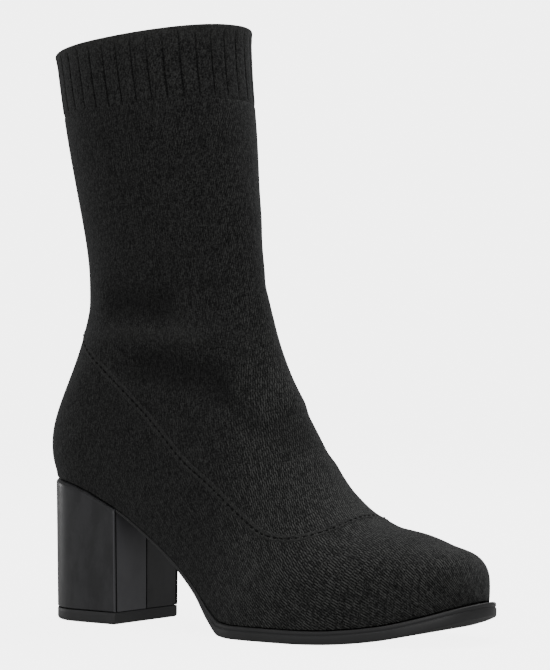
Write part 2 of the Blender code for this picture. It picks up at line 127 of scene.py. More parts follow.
LEG = [
    (-0.010, 0.033, 0.493, 0.038, 0.05, 0.43, 2.38, 2.12),
    (-0.011, 0.088, 0.488, 0.101, 0.02, 0.45, 2.25, 2.15),
    (0.015, 0.163, 0.482, 0.176, 0.00, 0.47, 2.12, 2.20),
    (0.057, 0.260, 0.477, 0.267, 0.06, 0.49, 2.05, 2.20),
    (0.087, 0.363, 0.4685, 0.375, 0.17, 0.50, 2.10, 2.20),
    (0.088, 0.474, 0.4615, 0.500, 0.35, 0.50, 2.10, 2.20),
    (0.069, 0.605, 0.4525, 0.642, 0.62, 0.50, 2.15, 2.20),
    (0.041, 0.767, 0.4405, 0.824, 0.87, 0.50, 2.20, 2.20),
    (0.014, 0.940, 0.435, 1.000, 1.00, 0.50, 2.20, 2.20),
]

# Cuff: depth of its lower edge below the rim at the front and at the back, how far it
# sits inside the shaft's face, how far the shaft's knit is tucked up behind it, and how
# much paler than the shaft it is
CUFF_FRONT = 0.0350
CUFF_BACK = 0.0277
CUFF_STEP = 0.0001
CUFF_WALL = 0.0030
CUFF_TUCK = 0.010
CUFF_BELOW = 0.004
TUCK_INSET = 0.0012
RIM_ROUND = 0.0009
RIM_FLARE = 0.0006
RIM_SWAY = 0.0011
RIM_SWAY_TURN = 0.20
CUFF_TONE = 1.42
# Depth below the rim over which painted light pales the cuff's yarn, as if lit from above
RIM_LIGHT_FADE = 0.011
FOOTBED_THREAD = 0.0009

# Foot seam in side view (x, z), from the vamp's middle line over the side to the back of the leg
SEAM_LINE = [
    (0.1530, 0.0560), (0.1500, 0.0511), (0.1440, 0.0482), (0.1370, 0.0464), (0.1280, 0.0462),
    (0.1185, 0.0482), (0.1085, 0.0535), (0.0970, 0.0612), (0.0840, 0.0703), (0.0710, 0.0790),
    (0.0600, 0.0893), (0.0500, 0.0990), (0.0400, 0.1075), (0.0290, 0.1165), (0.0180, 0.1252),
    (0.0070, 0.1338), (-0.0020, 0.1410), (-0.0100, 0.1474),
]

# Soft folds in millimetres, each with its side (-1 outer, 1 inner, 0 both), its height off
# the face (a trough is below 0), its half width and its line in side view
FOLDS = [
    (-1, 2.0, 6.0, [(14, 140.0), (38, 139.5), (57, 138.0), (74, 137.5), (84, 140.0)]),
    (-1, -2.1, 9.5, [(18, 156.0), (26, 155.0), (40, 151.5), (54, 152.0), (66, 154.5)]),
    (-1, -2.4, 8.8, [(32, 127.0), (46, 124.0), (62, 121.5), (78, 118.0), (92, 106.0)]),
    (-1, 0.4, 5.0, [(30, 113.0), (50, 110.0), (70, 106.0), (84, 98.0)]),
    (-1, -1.0, 4.0, [(78, 118.0), (94, 104.0), (106, 88.0)]),
    (-1, 0.4, 9.0, [(82, 154.0), (90, 140.0), (100, 124.0), (112, 106.0)]),
    (1, 1.7, 5.5, [(16, 136.0), (40, 137.0), (60, 135.0), (80, 133.0)]),
    (1, -2.0, 8.0, [(22, 149.0), (42, 150.0), (60, 149.0), (74, 147.0)]),
    (1, -2.2, 8.0, [(28, 123.0), (48, 121.0), (66, 118.0), (84, 111.0)]),
    (0, -0.4, 6.0, [(-6, 150.0), (6, 152.0), (20, 153.0)]),
    (0, -0.6, 5.0, [(70, 164.0), (82, 161.0), (94, 160.0)]),
    (0, -1.4, 12.0, [(110, 106.0), (121, 92.0), (131, 80.0)]),
    (0, 0.3, 9.0, [(134, 66.0), (150, 57.0), (162, 53.0)]),
    (0, -0.8, 15.0, [(152, 56.0), (168, 52.0), (184, 47.0), (200, 40.0)]),
]
MILLIMETRE = 0.001
FULL_FOLD = 0.0020


def columns(names, rows):
    """Give each named column of a table as an array."""
    return dict(zip(names.split(), np.array(rows, dtype=float).T))


SOLE = columns(SOLE_COLUMNS, SOLE_LINE)
FORE = columns(FOOT_COLUMNS, FOREPART)
BACK = columns(FOOT_COLUMNS, BACKPART)
SHAFT = columns(LEG_COLUMNS, LEG)
HEEL_ROW = len(FOREPART) + len(BACKPART) - 1
COLLAR_ROW = HEEL_ROW + len(LEG)

# Rows mirrored past the toe tip and past the heel's back, so that the splines run on smoothly
MIRRORED = 4


def monotone(xs, ys, x):
    """Interpolate without overshoot, so that level stretches stay level."""
    step = np.diff(xs)
    slope = np.diff(ys) / step
    tangent = np.zeros(len(xs))
    for i in range(1, len(xs) - 1):
        if slope[i - 1] * slope[i] > 0.0:
            before = 2.0 * step[i] + step[i - 1]
            after = step[i] + 2.0 * step[i - 1]
            tangent[i] = (before + after) / (before / slope[i - 1] + after / slope[i])
    tangent[0] = slope[0]
    tangent[-1] = slope[-1]
    x = np.clip(x, xs[0], xs[-1])
    i = np.clip(np.searchsorted(xs, x, side="right") - 1, 0, len(step) - 1)
    t = (x - xs[i]) / step[i]
    start = (1 + 2 * t) * (1 - t) ** 2 * ys[i] + t * (1 - t) ** 2 * step[i] * tangent[i]
    end = t * t * (3 - 2 * t) * ys[i + 1] + t * t * (t - 1) * step[i] * tangent[i + 1]
    return start + end


class Spline:
    """Natural cubic spline through values at whole row numbers."""

    def __init__(self, values, first_row=0):
        self.values = np.asarray(values, dtype=float)
        self.first_row = first_row
        count = len(self.values)
        matrix = np.eye(count)
        right = np.zeros(count)
        for i in range(1, count - 1):
            matrix[i, i - 1:i + 2] = (1.0, 4.0, 1.0)
            right[i] = 6.0 * (self.values[i - 1] - 2.0 * self.values[i] + self.values[i + 1])
        self.bend = np.linalg.solve(matrix, right)

    def __call__(self, row):
        place = np.asarray(row, dtype=float) - self.first_row
        i = np.clip(np.floor(place).astype(int), 0, len(self.values) - 2)
        t = place - i
        line = (1 - t) * self.values[i] + t * self.values[i + 1]
        left = ((1 - t) ** 3 - (1 - t)) * self.bend[i] / 6
        return line + left + (t ** 3 - t) * self.bend[i + 1] / 6


def travelled(points):
    """Length along a line at each of its points."""
    return np.concatenate([[0.0], np.cumsum(np.linalg.norm(np.diff(points, axis=0), axis=1))])


def smooth(value):
    """Ease a value from 0 to 1, held at both ends."""
    value = np.clip(value, 0.0, 1.0)
    return value * value * (3.0 - 2.0 * value)


def seat_height(x):
    """Height of the feather edge, where the upper meets the outsole."""
    share = x / FOOT_LENGTH
    heel = monotone(SOLE["along"], SOLE["heel_share"], share)
    spring = monotone(SOLE["along"], SOLE["spring_share"], share)
    return SOLE_EDGE + (HEEL_HEIGHT - SOLE_EDGE) * heel + TOE_SPRING * spring


def sole_thickness(x):
    """Thickness of the outsole."""
    share = monotone(SOLE["along"], SOLE["body"], x / FOOT_LENGTH)
    return WAIST_EDGE + (SOLE_EDGE - WAIST_EDGE) * share


def sole_ledge(x):
    """How far the outsole stands out past the feather edge, and how far inside it under the seat."""
    share = monotone(SOLE["along"], SOLE["ledge"], x / FOOT_LENGTH)
    ledge = -WAIST_INSET + (SOLE_LEDGE + WAIST_INSET) * share
    return np.where(x <= HEEL_LENGTH + GAP, -(HEEL_RIM + 2 * GAP), ledge)


def make_splines():
    """Work out the splines that every section is read from."""
    def joined(name, fore_size, back_size):
        return np.concatenate([FORE[name] * fore_size, BACK[name] * back_size])

    def past_ends(values, before, after):
        return np.concatenate([before[1:MIRRORED + 1][::-1], values, after[-MIRRORED - 1:-1][::-1]])

    def past_toe(values, twin):
        return np.concatenate([twin[1:MIRRORED + 1][::-1], values])

    along = joined("along", FOOT_LENGTH, FOOT_LENGTH)
    middle = joined("middle", BALL_WIDTH, BALL_WIDTH)
    outer = middle - joined("outer", BALL_WIDTH, SEAT_WIDTH)
    inner = middle + joined("inner", BALL_WIDTH, SEAT_WIDTH)
    crown = joined("crown", FOOT_LENGTH, FOOT_LENGTH)
    rise = joined("rise", INSTEP_HEIGHT, INSTEP_HEIGHT)
    full_outer = joined("full_outer", BALL_WIDTH, ANKLE_WIDTH)
    full_inner = joined("full_inner", BALL_WIDTH, ANKLE_WIDTH)
    half = (ANKLE_WIDTH + (COLLAR_WIDTH - ANKLE_WIDTH) * SHAFT["spread"]) / 2
    leg_front_z = HEEL_HEIGHT + INSTEP_HEIGHT + SHAFT["front_rise"] * (SHAFT_HEIGHT - INSTEP_HEIGHT)
    leg_back_z = HEEL_HEIGHT + SHAFT["back_rise"] * SHAFT_HEIGHT
    splines = {
        "along": Spline(past_ends(along, along, along), -MIRRORED),
        "outer": Spline(past_ends(outer, inner, inner), -MIRRORED),
        "inner": Spline(past_ends(inner, outer, outer), -MIRRORED),
        "middle": Spline(past_ends(middle, middle, middle), -MIRRORED),
        "crown": Spline(past_toe(np.concatenate([crown, SHAFT["front"] * FOOT_LENGTH]), crown), -MIRRORED),
        "crown_z": Spline(np.concatenate([seat_height(along) + rise, leg_front_z])),
        "full_outer": Spline(past_toe(np.concatenate([full_outer, half]), -full_inner), -MIRRORED),
        "full_inner": Spline(past_toe(np.concatenate([full_inner, half]), -full_outer), -MIRRORED),
        "back": Spline(np.concatenate([[0.0], SHAFT["back"] * FOOT_LENGTH]), HEEL_ROW),
        "back_z": Spline(np.concatenate([[HEEL_HEIGHT], leg_back_z]), HEEL_ROW),
    }
    for name in ("widest", "low_round", "top_round"):
        splines[name] = Spline(np.concatenate([FORE[name], BACK[name], SHAFT[name]]))
    return splines


SPLINES = make_splines()

# Steps of each of the two arcs of a half section
ARC_STEPS = 90


def half_section(feather, full, widest, low_round, top_round):
    """Heights (as shares) and half widths of one side, from the bottom to the crown."""
    full = max(full, 0.0)
    ratio = 0.0 if full <= 0.0 else min(max(feather / full, 0.0), 0.9995)
    start = math.asin(ratio ** (low_round / 2))
    low = np.linspace(start, math.pi / 2, ARC_STEPS, endpoint=False)
    top = np.linspace(0.0, math.pi / 2, ARC_STEPS + 1)
    low_height = widest * (1 - (np.cos(low) / math.cos(start)) ** (2 / low_round))
    top_height = widest + (1 - widest) * np.sin(top) ** (2 / top_round)
    low_width = full * np.sin(low) ** (2 / low_round)
    top_width = full * np.maximum(np.cos(top), 0.0) ** (2 / top_round)
    return np.concatenate([low_height, top_height]), np.concatenate([low_width, top_width])


def side_points(row, side, count):
    """Evenly spaced points on one side (-1 outer, 1 inner) of a row, crown first, and its length."""
    values = {name: float(spline(row)) for name, spline in SPLINES.items()}
    if row <= HEEL_ROW:
        low_x, low_z, middle = values["along"], float(seat_height(values["along"])), values["middle"]
        feather = middle - values["outer"] if side < 0 else values["inner"] - middle
    else:
        low_x, low_z, middle, feather = values["back"], values["back_z"], 0.0, 0.0
    full = values["full_outer"] if side < 0 else values["full_inner"]
    height, width = half_section(feather, full, values["widest"], values["low_round"], values["top_round"])
    points = np.column_stack([
        low_x + (values["crown"] - low_x) * height - HEEL_LENGTH / 2,
        middle + side * width,
        low_z + (values["crown_z"] - low_z) * height + UPPER_GAP,
    ])[::-1]
    lengths = travelled(points)
    places = np.linspace(0.0, lengths[-1], count + 1)
    return np.column_stack([np.interp(places, lengths, points[:, k]) for k in range(3)]), lengths[-1]


class Skin:
    """Outer face of the knit: points on rows by columns, from the outer low edge to the inner one."""

    def __init__(self, rows, half_columns):
        self.rows = np.asarray(rows, dtype=float)
        self.half = half_columns
        outer = [side_points(row, -1, half_columns) for row in self.rows]
        inner = [side_points(row, 1, half_columns) for row in self.rows]
        self.points = np.array([np.concatenate([a[0][:0:-1], b[0]]) for a, b in zip(outer, inner)])
        self.lengths = np.array([(a[1], b[1]) for a, b in zip(outer, inner)])
        self.shares = np.linspace(-1.0, 1.0, 2 * half_columns + 1)
        self.along = travelled(self.points[:, half_columns])
        across = np.gradient(self.points, axis=1)
        onward = np.gradient(self.points, axis=0)
        across[:, 0] = self.points[:, 1] - self.points[:, 0]
        normals = np.cross(across, onward)
        normals /= np.maximum(np.linalg.norm(normals, axis=2), 1e-12)[:, :, None]
        self.normals = normals

    def read(self, table, row, share):
        """Read a table of the skin between its rows and columns."""
        i = np.interp(row, self.rows, np.arange(len(self.rows)))
        j = (np.asarray(share) + 1.0) * self.half
        i0 = np.clip(np.floor(i).astype(int), 0, len(self.rows) - 2)
        j0 = np.clip(np.floor(j).astype(int), 0, 2 * self.half - 1)
        a, b = (i - i0)[..., None], (j - j0)[..., None]
        near = table[i0, j0] * (1 - b) + table[i0, j0 + 1] * b
        far = table[i0 + 1, j0] * (1 - b) + table[i0 + 1, j0 + 1] * b
        return near * (1 - a) + far * a

    def place(self, row, share):
        """Point on the skin and its outward direction."""
        normal = self.read(self.normals, row, share)
        normal /= np.linalg.norm(normal, axis=-1)[..., None]
        return self.read(self.points, row, share), normal

    def across(self, row, share):
        """Length along the row from the middle line, below 0 on the outer side."""
        outer = np.interp(row, self.rows, self.lengths[:, 0])
        inner = np.interp(row, self.rows, self.lengths[:, 1])
        return np.asarray(share) * np.where(np.asarray(share) < 0, outer, inner)


def spaced_rows(first, last, spacing, multiple):
    """Row numbers between two rows whose points lie about one spacing apart."""
    fine = np.linspace(first, last, int((last - first) * 12) + 1)
    ends = np.array([side_points(row, -1, 2)[0][[0, 2]] for row in fine])
    steps = np.linalg.norm(np.diff(ends, axis=0), axis=2).max(axis=1)
    lengths = np.concatenate([[0.0], np.cumsum(steps)])
    count = multiple * max(1, round(lengths[-1] / spacing / multiple))
    return np.interp(np.linspace(0.0, lengths[-1], count + 1), lengths, fine)


# Distance from row to row, columns on each side, and steps of the face to one of its lining
SKIN_SPACING = 0.00115
HALF_COLUMNS = 105
COARSE = 3
SKIN = Skin(np.concatenate([
    spaced_rows(0.0, HEEL_ROW, SKIN_SPACING, COARSE)[:-1],
    spaced_rows(HEEL_ROW, COLLAR_ROW, SKIN_SPACING, COARSE),
]), HALF_COLUMNS)


def rim_height(x):
    """Height of the collar's rim plane over a place along the foot."""
    back, front = SKIN.points[-1, 0], SKIN.points[-1, HALF_COLUMNS]
    return back[2] + (front[2] - back[2]) * (x - back[0]) / (front[0] - back[0])


def cuff_depth(x):
    """Depth of the cuff's lower edge below the rim."""
    back_x, front_x = SKIN.points[-1, 0, 0], SKIN.points[-1, HALF_COLUMNS, 0]
    share = smooth((x - back_x) / (front_x - back_x) / 0.65)
    return CUFF_BACK + (CUFF_FRONT - CUFF_BACK) * share


def line_distance(points, line):
    """Distance in side view from points to a line, and how far along it they are as a share."""
    line = np.asarray(line)
    flat = points[:, [0, 2]]
    best = np.full(len(points), np.inf)
    along = np.zeros(len(points))
    lengths = travelled(line)
    for i in range(len(line) - 1):
        run = line[i + 1] - line[i]
        t = np.clip(((flat - line[i]) @ run) / (run @ run), 0.0, 1.0)
        gap = np.linalg.norm(flat - line[i] - t[:, None] * run, axis=1)
        nearer = gap < best
        best = np.where(nearer, gap, best)
        along = np.where(nearer, (lengths[i] + t * (lengths[i + 1] - lengths[i])) / lengths[-1], along)
    return best, along


def fold_height(points, strength):
    """Height of the soft folds over the plain skin."""
    height = np.zeros(len(points))
    for side, rise, half_width, line in FOLDS:
        gap, along = line_distance(points / MILLIMETRE, line)
        ends = smooth(np.minimum(along, 1.0 - along) / 0.30 + 0.12)
        facing = np.ones(len(points)) if side == 0 else smooth(0.5 + side * points[:, 1] / 0.016)
        height += strength * rise * MILLIMETRE * ends * facing * np.exp(-(gap / half_width) ** 2)
    return height


def side_place(x, z, side):
    """Row and share at which one side (-1 outer, 1 inner) is met in side view, None off the knit."""
    edge = 0 if side < 0 else -1
    low, crown = SKIN.points[:, edge][:, [0, 2]], SKIN.points[:, SKIN.half][:, [0, 2]]
    chord = crown - low
    length = np.linalg.norm(chord, axis=1)
    offset = (chord[:, 0] * (z - low[:, 1]) - chord[:, 1] * (x - low[:, 0])) / length
    up = ((x - low[:, 0]) * chord[:, 0] + (z - low[:, 1]) * chord[:, 1]) / length ** 2
    met = (offset[:-1] * offset[1:] <= 0) & (up[:-1] > -0.15) & (up[:-1] < 1.05)
    if not met.any():
        return None
    i = int(np.argmax(met))
    t = offset[i] / (offset[i] - offset[i + 1]) if offset[i] != offset[i + 1] else 0.0
    shares = np.abs(SKIN.shares[:SKIN.half + 1][::-1])
    found = []
    for k in (i, i + 1):
        half = SKIN.points[k, SKIN.half::-1] if side < 0 else SKIN.points[k, SKIN.half:]
        rise = ((half[:, [0, 2]] - low[k]) @ chord[k]) / length[k] ** 2
        found.append(np.interp(-(up[i] * (1 - t) + up[i + 1] * t), -rise, shares))
    return SKIN.rows[i] * (1 - t) + SKIN.rows[i + 1] * t, side * (found[0] * (1 - t) + found[1] * t)


def smooth_line(places, count):
    """Even points on a smooth line through places set by hand."""
    places = np.asarray(places, dtype=float)
    splines = [Spline(places[:, k]) for k in range(places.shape[1])]
    dense = np.linspace(0.0, len(places) - 1, 40 * len(places))
    line = np.column_stack([spline(dense) for spline in splines])
    lengths = travelled(line)
    at = np.linspace(0.0, lengths[-1], count + 1)
    return np.column_stack([np.interp(at, lengths, line[:, k]) for k in range(line.shape[1])])


def seam_places(spacing):
    """Places on the foot seam as one closed loop, outer side first, and its length."""
    line = smooth_line(SEAM_LINE, 170)
    sides = []
    for side in (-1, 1):
        places = [side_place(x, z, side) for x, z in line]
        places = [place for place in places if place is not None and 0.004 < abs(place[1]) < 0.996]
        if not places:
            raise RuntimeError("The foot seam's line doesn't meet the knit")
        first, last = places[0], places[-1]
        places = [(first[0], 0.0)] + places + [(last[0] + 0.06, side * 1.0)]
        sides.append(np.array(places))
    rows = np.concatenate([sides[0][:, 0], sides[1][::-1, 0]])
    shares = np.concatenate([sides[0][:, 1], sides[1][::-1, 1]])
    points, normals = SKIN.place(rows, shares)
    lengths = travelled(points)
    count = int(round(lengths[-1] / spacing))
    at = np.linspace(0.0, lengths[-1], count + 1)[:-1]
    loop = np.column_stack([np.interp(at, lengths, points[:, k]) for k in range(3)])
    outward = np.column_stack([np.interp(at, lengths, normals[:, k]) for k in range(3)])
    for _ in range(6):
        loop = (np.roll(loop, 1, axis=0) + 2 * loop + np.roll(loop, -1, axis=0)) / 4
    return loop, outward / np.linalg.norm(outward, axis=1)[:, None], lengths[-1]


def new_piece(name, vertices, faces, material, uvs=None, sharp=None, second=None, dark_faces=()):
    """Make a mesh object whose seams are merged, with its own UV map in metres.

    second: material of the faces whose numbers are in dark_faces.
    """
    mesh = bpy.data.meshes.new(name)
    mesh.from_pydata(np.asarray(vertices, dtype=float).tolist(), [], faces)
    if uvs is not None:
        layer = mesh.uv_layers.new(name="knit")
        loops = np.empty(len(mesh.loops), dtype=np.int32)
        mesh.loops.foreach_get("vertex_index", loops)
        layer.data.foreach_set("uv", np.asarray(uvs, dtype=np.float32)[loops].ravel())
    for number in dark_faces:
        mesh.polygons[number].material_index = 1
    edit = bmesh.new()
    edit.from_mesh(mesh)
    bmesh.ops.remove_doubles(edit, verts=edit.verts, dist=0.000004)
    bmesh.ops.dissolve_degenerate(edit, edges=edit.edges, dist=0.000002)
    bmesh.ops.recalc_face_normals(edit, faces=edit.faces)
    edit.to_mesh(mesh)
    edit.free()
    mesh.shade_smooth()
    if sharp is not None:
        mesh.set_sharp_from_angle(angle=math.radians(sharp))
    if material is not None:
        mesh.materials.append(material)
    if second is not None:
        mesh.materials.append(second)
    item = bpy.data.objects.new(name, mesh)
    bpy.context.scene.collection.objects.link(item)
    return item


def grid_faces(first, row_count, column_count, flip=False):
    """Quads of a grid of vertices whose numbers start at first."""
    numbers = first + np.arange(row_count * column_count).reshape(row_count, column_count)
    a, b = numbers[:-1, :-1].ravel(), numbers[:-1, 1:].ravel()
    c, d = numbers[1:, 1:].ravel(), numbers[1:, :-1].ravel()
    quads = np.column_stack([a, d, c, b] if flip else [a, b, c, d])
    return [tuple(quad) for quad in quads.tolist()]


def rim_faces(fine, coarse, flip=False):
    """Faces from a fine row of vertex numbers to a coarse one, COARSE fine steps to each coarse one."""
    faces = []
    for i in range(len(coarse) - 1):
        face = list(fine[i * COARSE:(i + 1) * COARSE + 1]) + [coarse[i + 1], coarse[i]]
        faces.append(tuple(face[::-1] if flip else face))
    return faces


def need_solid(node):
    """Give the frame's own object for a node, and stop where it has none."""
    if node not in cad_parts:
        raise RuntimeError(f"The frame has no node {node}")
    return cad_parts[node]


def dress(item, slot, *nodes):
    """Attach a finished piece to the body and hide the frame's solids that it stands for."""
    if not item.data.polygons:
        raise RuntimeError(f"{item.name} came out empty")
    for node in nodes:
        need_solid(node)
    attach(item, BODY)
    if nodes:
        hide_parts(*nodes)


# Nodes and materials


class Value:
    """A value in a node tree, with the usual arithmetic on it."""

    def __init__(self, tree, socket):
        self.tree = tree
        self.socket = socket

    def __add__(self, other):
        return calc("ADD", self, other)

    def __sub__(self, other):
        return calc("SUBTRACT", self, other)

    def __rsub__(self, other):
        return calc("SUBTRACT", other, self)

    def __mul__(self, other):
        return calc("MULTIPLY", self, other)

    def __truediv__(self, other):
        return calc("DIVIDE", self, other)


def add(tree, kind, inputs=(), **settings):
    """Add a node. inputs: values by the name or number of the socket. settings: the node's own."""
    node = tree.nodes.new(kind)
    for name, value in settings.items():
        setattr(node, name, value)
    for name, value in dict(inputs).items():
        if isinstance(value, Value):
            tree.links.new(value.socket, node.inputs[name])
        else:
            node.inputs[name].default_value = value
    return node


def calc(operation, *values, clamp=False):
    """Work out a value from others with a Math node."""
    tree = next(value.tree for value in values if isinstance(value, Value))
    node = add(tree, "ShaderNodeMath", enumerate(values), operation=operation, use_clamp=clamp)
    return Value(tree, node.outputs[0])


def remap(value, low, high, new_low=0.0, new_high=1.0):
    """Ease a value from one range to another."""
    limits = {0: value, 1: low, 2: high, 3: new_low, 4: new_high}
    node = add(value.tree, "ShaderNodeMapRange", limits, interpolation_type="SMOOTHSTEP")
    return Value(value.tree, node.outputs[0])


def split(place):
    """Split a place into its three parts."""
    node = add(place.tree, "ShaderNodeSeparateXYZ", {0: place})
    return [Value(place.tree, socket) for socket in node.outputs]


def turned(place, rotation=(0.0, 0.0, 0.0), scale=(1.0, 1.0, 1.0)):
    """Turn and stretch the places that a pattern is read at."""
    node = add(place.tree, "ShaderNodeMapping", {"Vector": place, "Rotation": rotation, "Scale": scale})
    return Value(place.tree, node.outputs[0])


def noise(place, scale, detail=2.0, roughness=0.5, distortion=0.0):
    """Read a noise texture at a place."""
    inputs = {"Vector": place, "Scale": scale, "Detail": detail, "Roughness": roughness}
    node = add(place.tree, "ShaderNodeTexNoise", {**inputs, "Distortion": distortion})
    return Value(place.tree, node.outputs["Fac"])


def mix_colour(share, first, second):
    """Mix two colours by a share. Each is a value or three numbers."""
    inputs = {0: share}
    for number, colour in ((6, first), (7, second)):
        inputs[number] = colour if isinstance(colour, Value) else (*colour, 1.0)
    node = add(share.tree, "ShaderNodeMix", inputs, data_type="RGBA")
    return Value(share.tree, node.outputs[2])


SOCKET_KINDS = {type(None): "NodeSocketVector", float: "NodeSocketFloat", tuple: "NodeSocketColor"}


def new_group(name, inputs):
    """Start a shader node group. inputs: each one's default by its name, None for a place."""
    tree = bpy.data.node_groups.new(name, "ShaderNodeTree")
    for label, default in inputs.items():
        kind = SOCKET_KINDS[type(default)]
        socket = tree.interface.new_socket(label, in_out="INPUT", socket_type=kind)
        if default is not None:
            socket.default_value = default
    given = tree.nodes.new("NodeGroupInput")
    return tree, {label: Value(tree, given.outputs[label]) for label in inputs}


def end_group(tree, outputs):
    """End a shader node group in its outputs, each a value under its name."""
    for label, value in outputs.items():
        kind = "NodeSocketColor" if value.socket.type == "RGBA" else "NodeSocketFloat"
        tree.interface.new_socket(label, in_out="OUTPUT", socket_type=kind)
    result = tree.nodes.new("NodeGroupOutput")
    for label, value in outputs.items():
        tree.links.new(value.socket, result.inputs[label])
    return tree


def arch(value):
    """Arch over each whole step of a value, 1 in its middle and 0 at its ends."""
    offset = calc("ABSOLUTE", calc("FRACT", value) - 0.5) * 2.0
    return 1.0 - calc("POWER", offset, 2.0)


def loops_group():
    """Knitted loops: slanting strokes in columns over the UV map, which is in metres."""
    tree, given = new_group("Knit Loops", {
        "UV": None, "Wale Pitch": 0.0013, "Stroke Pitch": 0.0014, "Unevenness": 0.95, "Slant": -1.10,
    })
    x, y, _ = split(given["UV"])
    wobble = (noise(given["UV"], 330.0, 3.0, 0.6) - 0.5) * given["Unevenness"]
    wale = y / given["Wale Pitch"] + wobble
    onward = x * calc("COSINE", given["Slant"]) + y * calc("SINE", given["Slant"])
    stroke = onward / given["Stroke Pitch"] + wobble
    cell = add(tree, "ShaderNodeCombineXYZ", {"X": calc("FLOOR", wale), "Y": calc("FLOOR", stroke)})
    own = add(tree, "ShaderNodeTexWhiteNoise", {"Vector": Value(tree, cell.outputs[0])},
              noise_dimensions="2D")
    height = (arch(wale) * 0.60 + 0.40) * (arch(stroke) * 0.88 + 0.12)
    return end_group(tree, {
        "Height": height,
        "Gap": 1.0 - remap(height, 0.12, 0.60),
        "Loop": Value(tree, own.outputs["Value"]),
    })


def heather_group():
    """Heathered yarn: fine light and dark specks, and soft clouds."""
    tree, given = new_group("Heathered Yarn", {"Place": None, "Speck Scale": 1350.0, "Amount": 1.0})
    fine = remap(noise(given["Place"], given["Speck Scale"], 1.5, 0.6), 0.39, 0.61)
    slanted = turned(given["Place"], (0.0, 0.75, 0.0), (2.6, 1.0, 0.8))
    streak = remap(noise(slanted, 560.0, 1.0), 0.38, 0.62)
    centred = (fine * 0.62 + streak * 0.38 - 0.5) * given["Amount"]
    return end_group(tree, {
        "Speck": calc("ADD", centred, 0.5, clamp=True),
        "Cloud": noise(given["Place"], 55.0, 3.0, 0.55),
    })


def clarity_group():
    """How clearly the loops show: most on the stretched toe, less up the front, least on the sides."""
    tree, given = new_group("Loop Clarity", {
        "Place": None, "UV": None, "Side Clarity": 0.24, "Contrast": 1.0,
    })
    x, _, z = split(given["Place"])
    tip = remap(x, 0.150, 0.185) * remap(z, 0.018, 0.038, 0.42, 0.0)
    toe = remap(x, 0.070, 0.125) * (1.0 - tip)
    front = remap(calc("ABSOLUTE", split(given["UV"])[1]), 0.012, 0.036, 0.42, 0.0)
    shown = calc("MAXIMUM", calc("MAXIMUM", toe, front), given["Side Clarity"])
    return end_group(tree, {"Clarity": shown * given["Contrast"]})


def yarn_group():
    """Colour, roughness and relief of the knit, from its loops and its heathered yarn, with a painted
    highlight on the raised loops and painted shade in the gaps between them.
    """
    black = (0.0, 0.0, 0.0, 1.0)
    tree, given = new_group("Knit Yarn", {
        "Height": 0.0, "Gap": 0.0, "Loop": 0.0, "Speck": 0.0, "Cloud": 0.0, "Clarity": 1.0,
        "Dark": black, "Pale": black, "Bright": black, "Between": black,
    })
    clarity = given["Clarity"]
    speck = calc("ADD", given["Speck"], (given["Cloud"] - 0.5) * 0.25, clamp=True)
    # Painted highlight on the raised loops, varied loop by loop, with the palest specks added as pale flecks
    own = remap(given["Loop"], 0.0, 1.0, 0.26, 1.10)
    lit = remap(given["Height"], 0.45, 0.95) * clarity * own
    fleck = remap(given["Speck"], 0.62, 0.95) * clarity
    lit = calc("ADD", lit, fleck * 0.62, clamp=True)
    colour = mix_colour(speck, given["Dark"], given["Pale"])
    colour = mix_colour(lit, colour, given["Bright"])
    # The colour takes painted shade in the gaps between the loops
    return end_group(tree, {
        "Colour": mix_colour(given["Gap"] * clarity, colour, given["Between"]),
        "Roughness": remap(given["Speck"], 0.0, 1.0, 0.90, 0.74),
        "Relief": given["Height"] * clarity + given["Speck"] * 0.45,
    })


def grooves_group():
    """Dashed dark lines of painted shade down the rib grooves, fainter towards the hem, and painted light
    that pales the rim.
    """
    tree, given = new_group("Rib Grooves", {
        "UV": None, "Rib Pitch": 0.008, "Line Width": 0.001, "Line Top": 0.032,
        "Stroke Pitch": 0.0012, "Rim Height": 0.035, "Rim Light Tone": 0.20,
    })
    x, y, _ = split(given["UV"])
    top, rim = given["Line Top"], given["Rim Height"]
    width = given["Line Width"] / given["Rib Pitch"]
    offset = calc("ABSOLUTE", calc("FRACT", y / given["Rib Pitch"] + 0.5) - 0.5)
    line = 1.0 - remap(offset, width * 0.25, width * 0.62)
    dash = calc("ABSOLUTE", calc("FRACT", x / (given["Stroke Pitch"] * 1.25)) - 0.5)
    dash = remap(dash, 0.12, 0.34, 1.0, 0.55)
    below = remap(x, 0.0, 0.0012)
    above = remap(x, top - 0.0006, top, 1.0, 0.0) * remap(x, top * 0.45, top, 1.0, 0.45)
    # The rim's paler tone is painted light from above
    return end_group(tree, {
        "Line": line * dash * (below * above),
        "Lit Rim": remap(x, rim - RIM_LIGHT_FADE, rim, 0.0, given["Rim Light Tone"]),
    })


def grain_group():
    """Fine moulded or coated grain with a few soft scuffs."""
    tree, given = new_group("Fine Grain", {"Place": None, "Grain Scale": 1400.0, "Scuff Scale": 70.0})
    pebble = add(tree, "ShaderNodeTexVoronoi", {"Vector": given["Place"], "Scale": given["Grain Scale"]},
                 feature="SMOOTH_F1")
    fine = noise(given["Place"], given["Grain Scale"], 3.0)
    scuff = noise(given["Place"], given["Scuff Scale"], 4.0, 0.6, 0.6)
    return end_group(tree, {
        "Height": Value(tree, pebble.outputs["Distance"]) * 0.6 + fine * 0.4,
        "Scuff": remap(scuff, 0.42, 0.72),
    })


GROUPS = {}


def place_group(tree, name, inputs):
    """Place a shared node group in a material with its own values. Gives its outputs by name."""
    if not GROUPS:
        GROUPS.update(loops=loops_group(), heather=heather_group(), clarity=clarity_group(),
                      yarn=yarn_group(), grooves=grooves_group(), grain=grain_group())
    node = add(tree, "ShaderNodeGroup", inputs, node_tree=GROUPS[name])
    return {socket.name: Value(tree, socket) for socket in node.outputs}


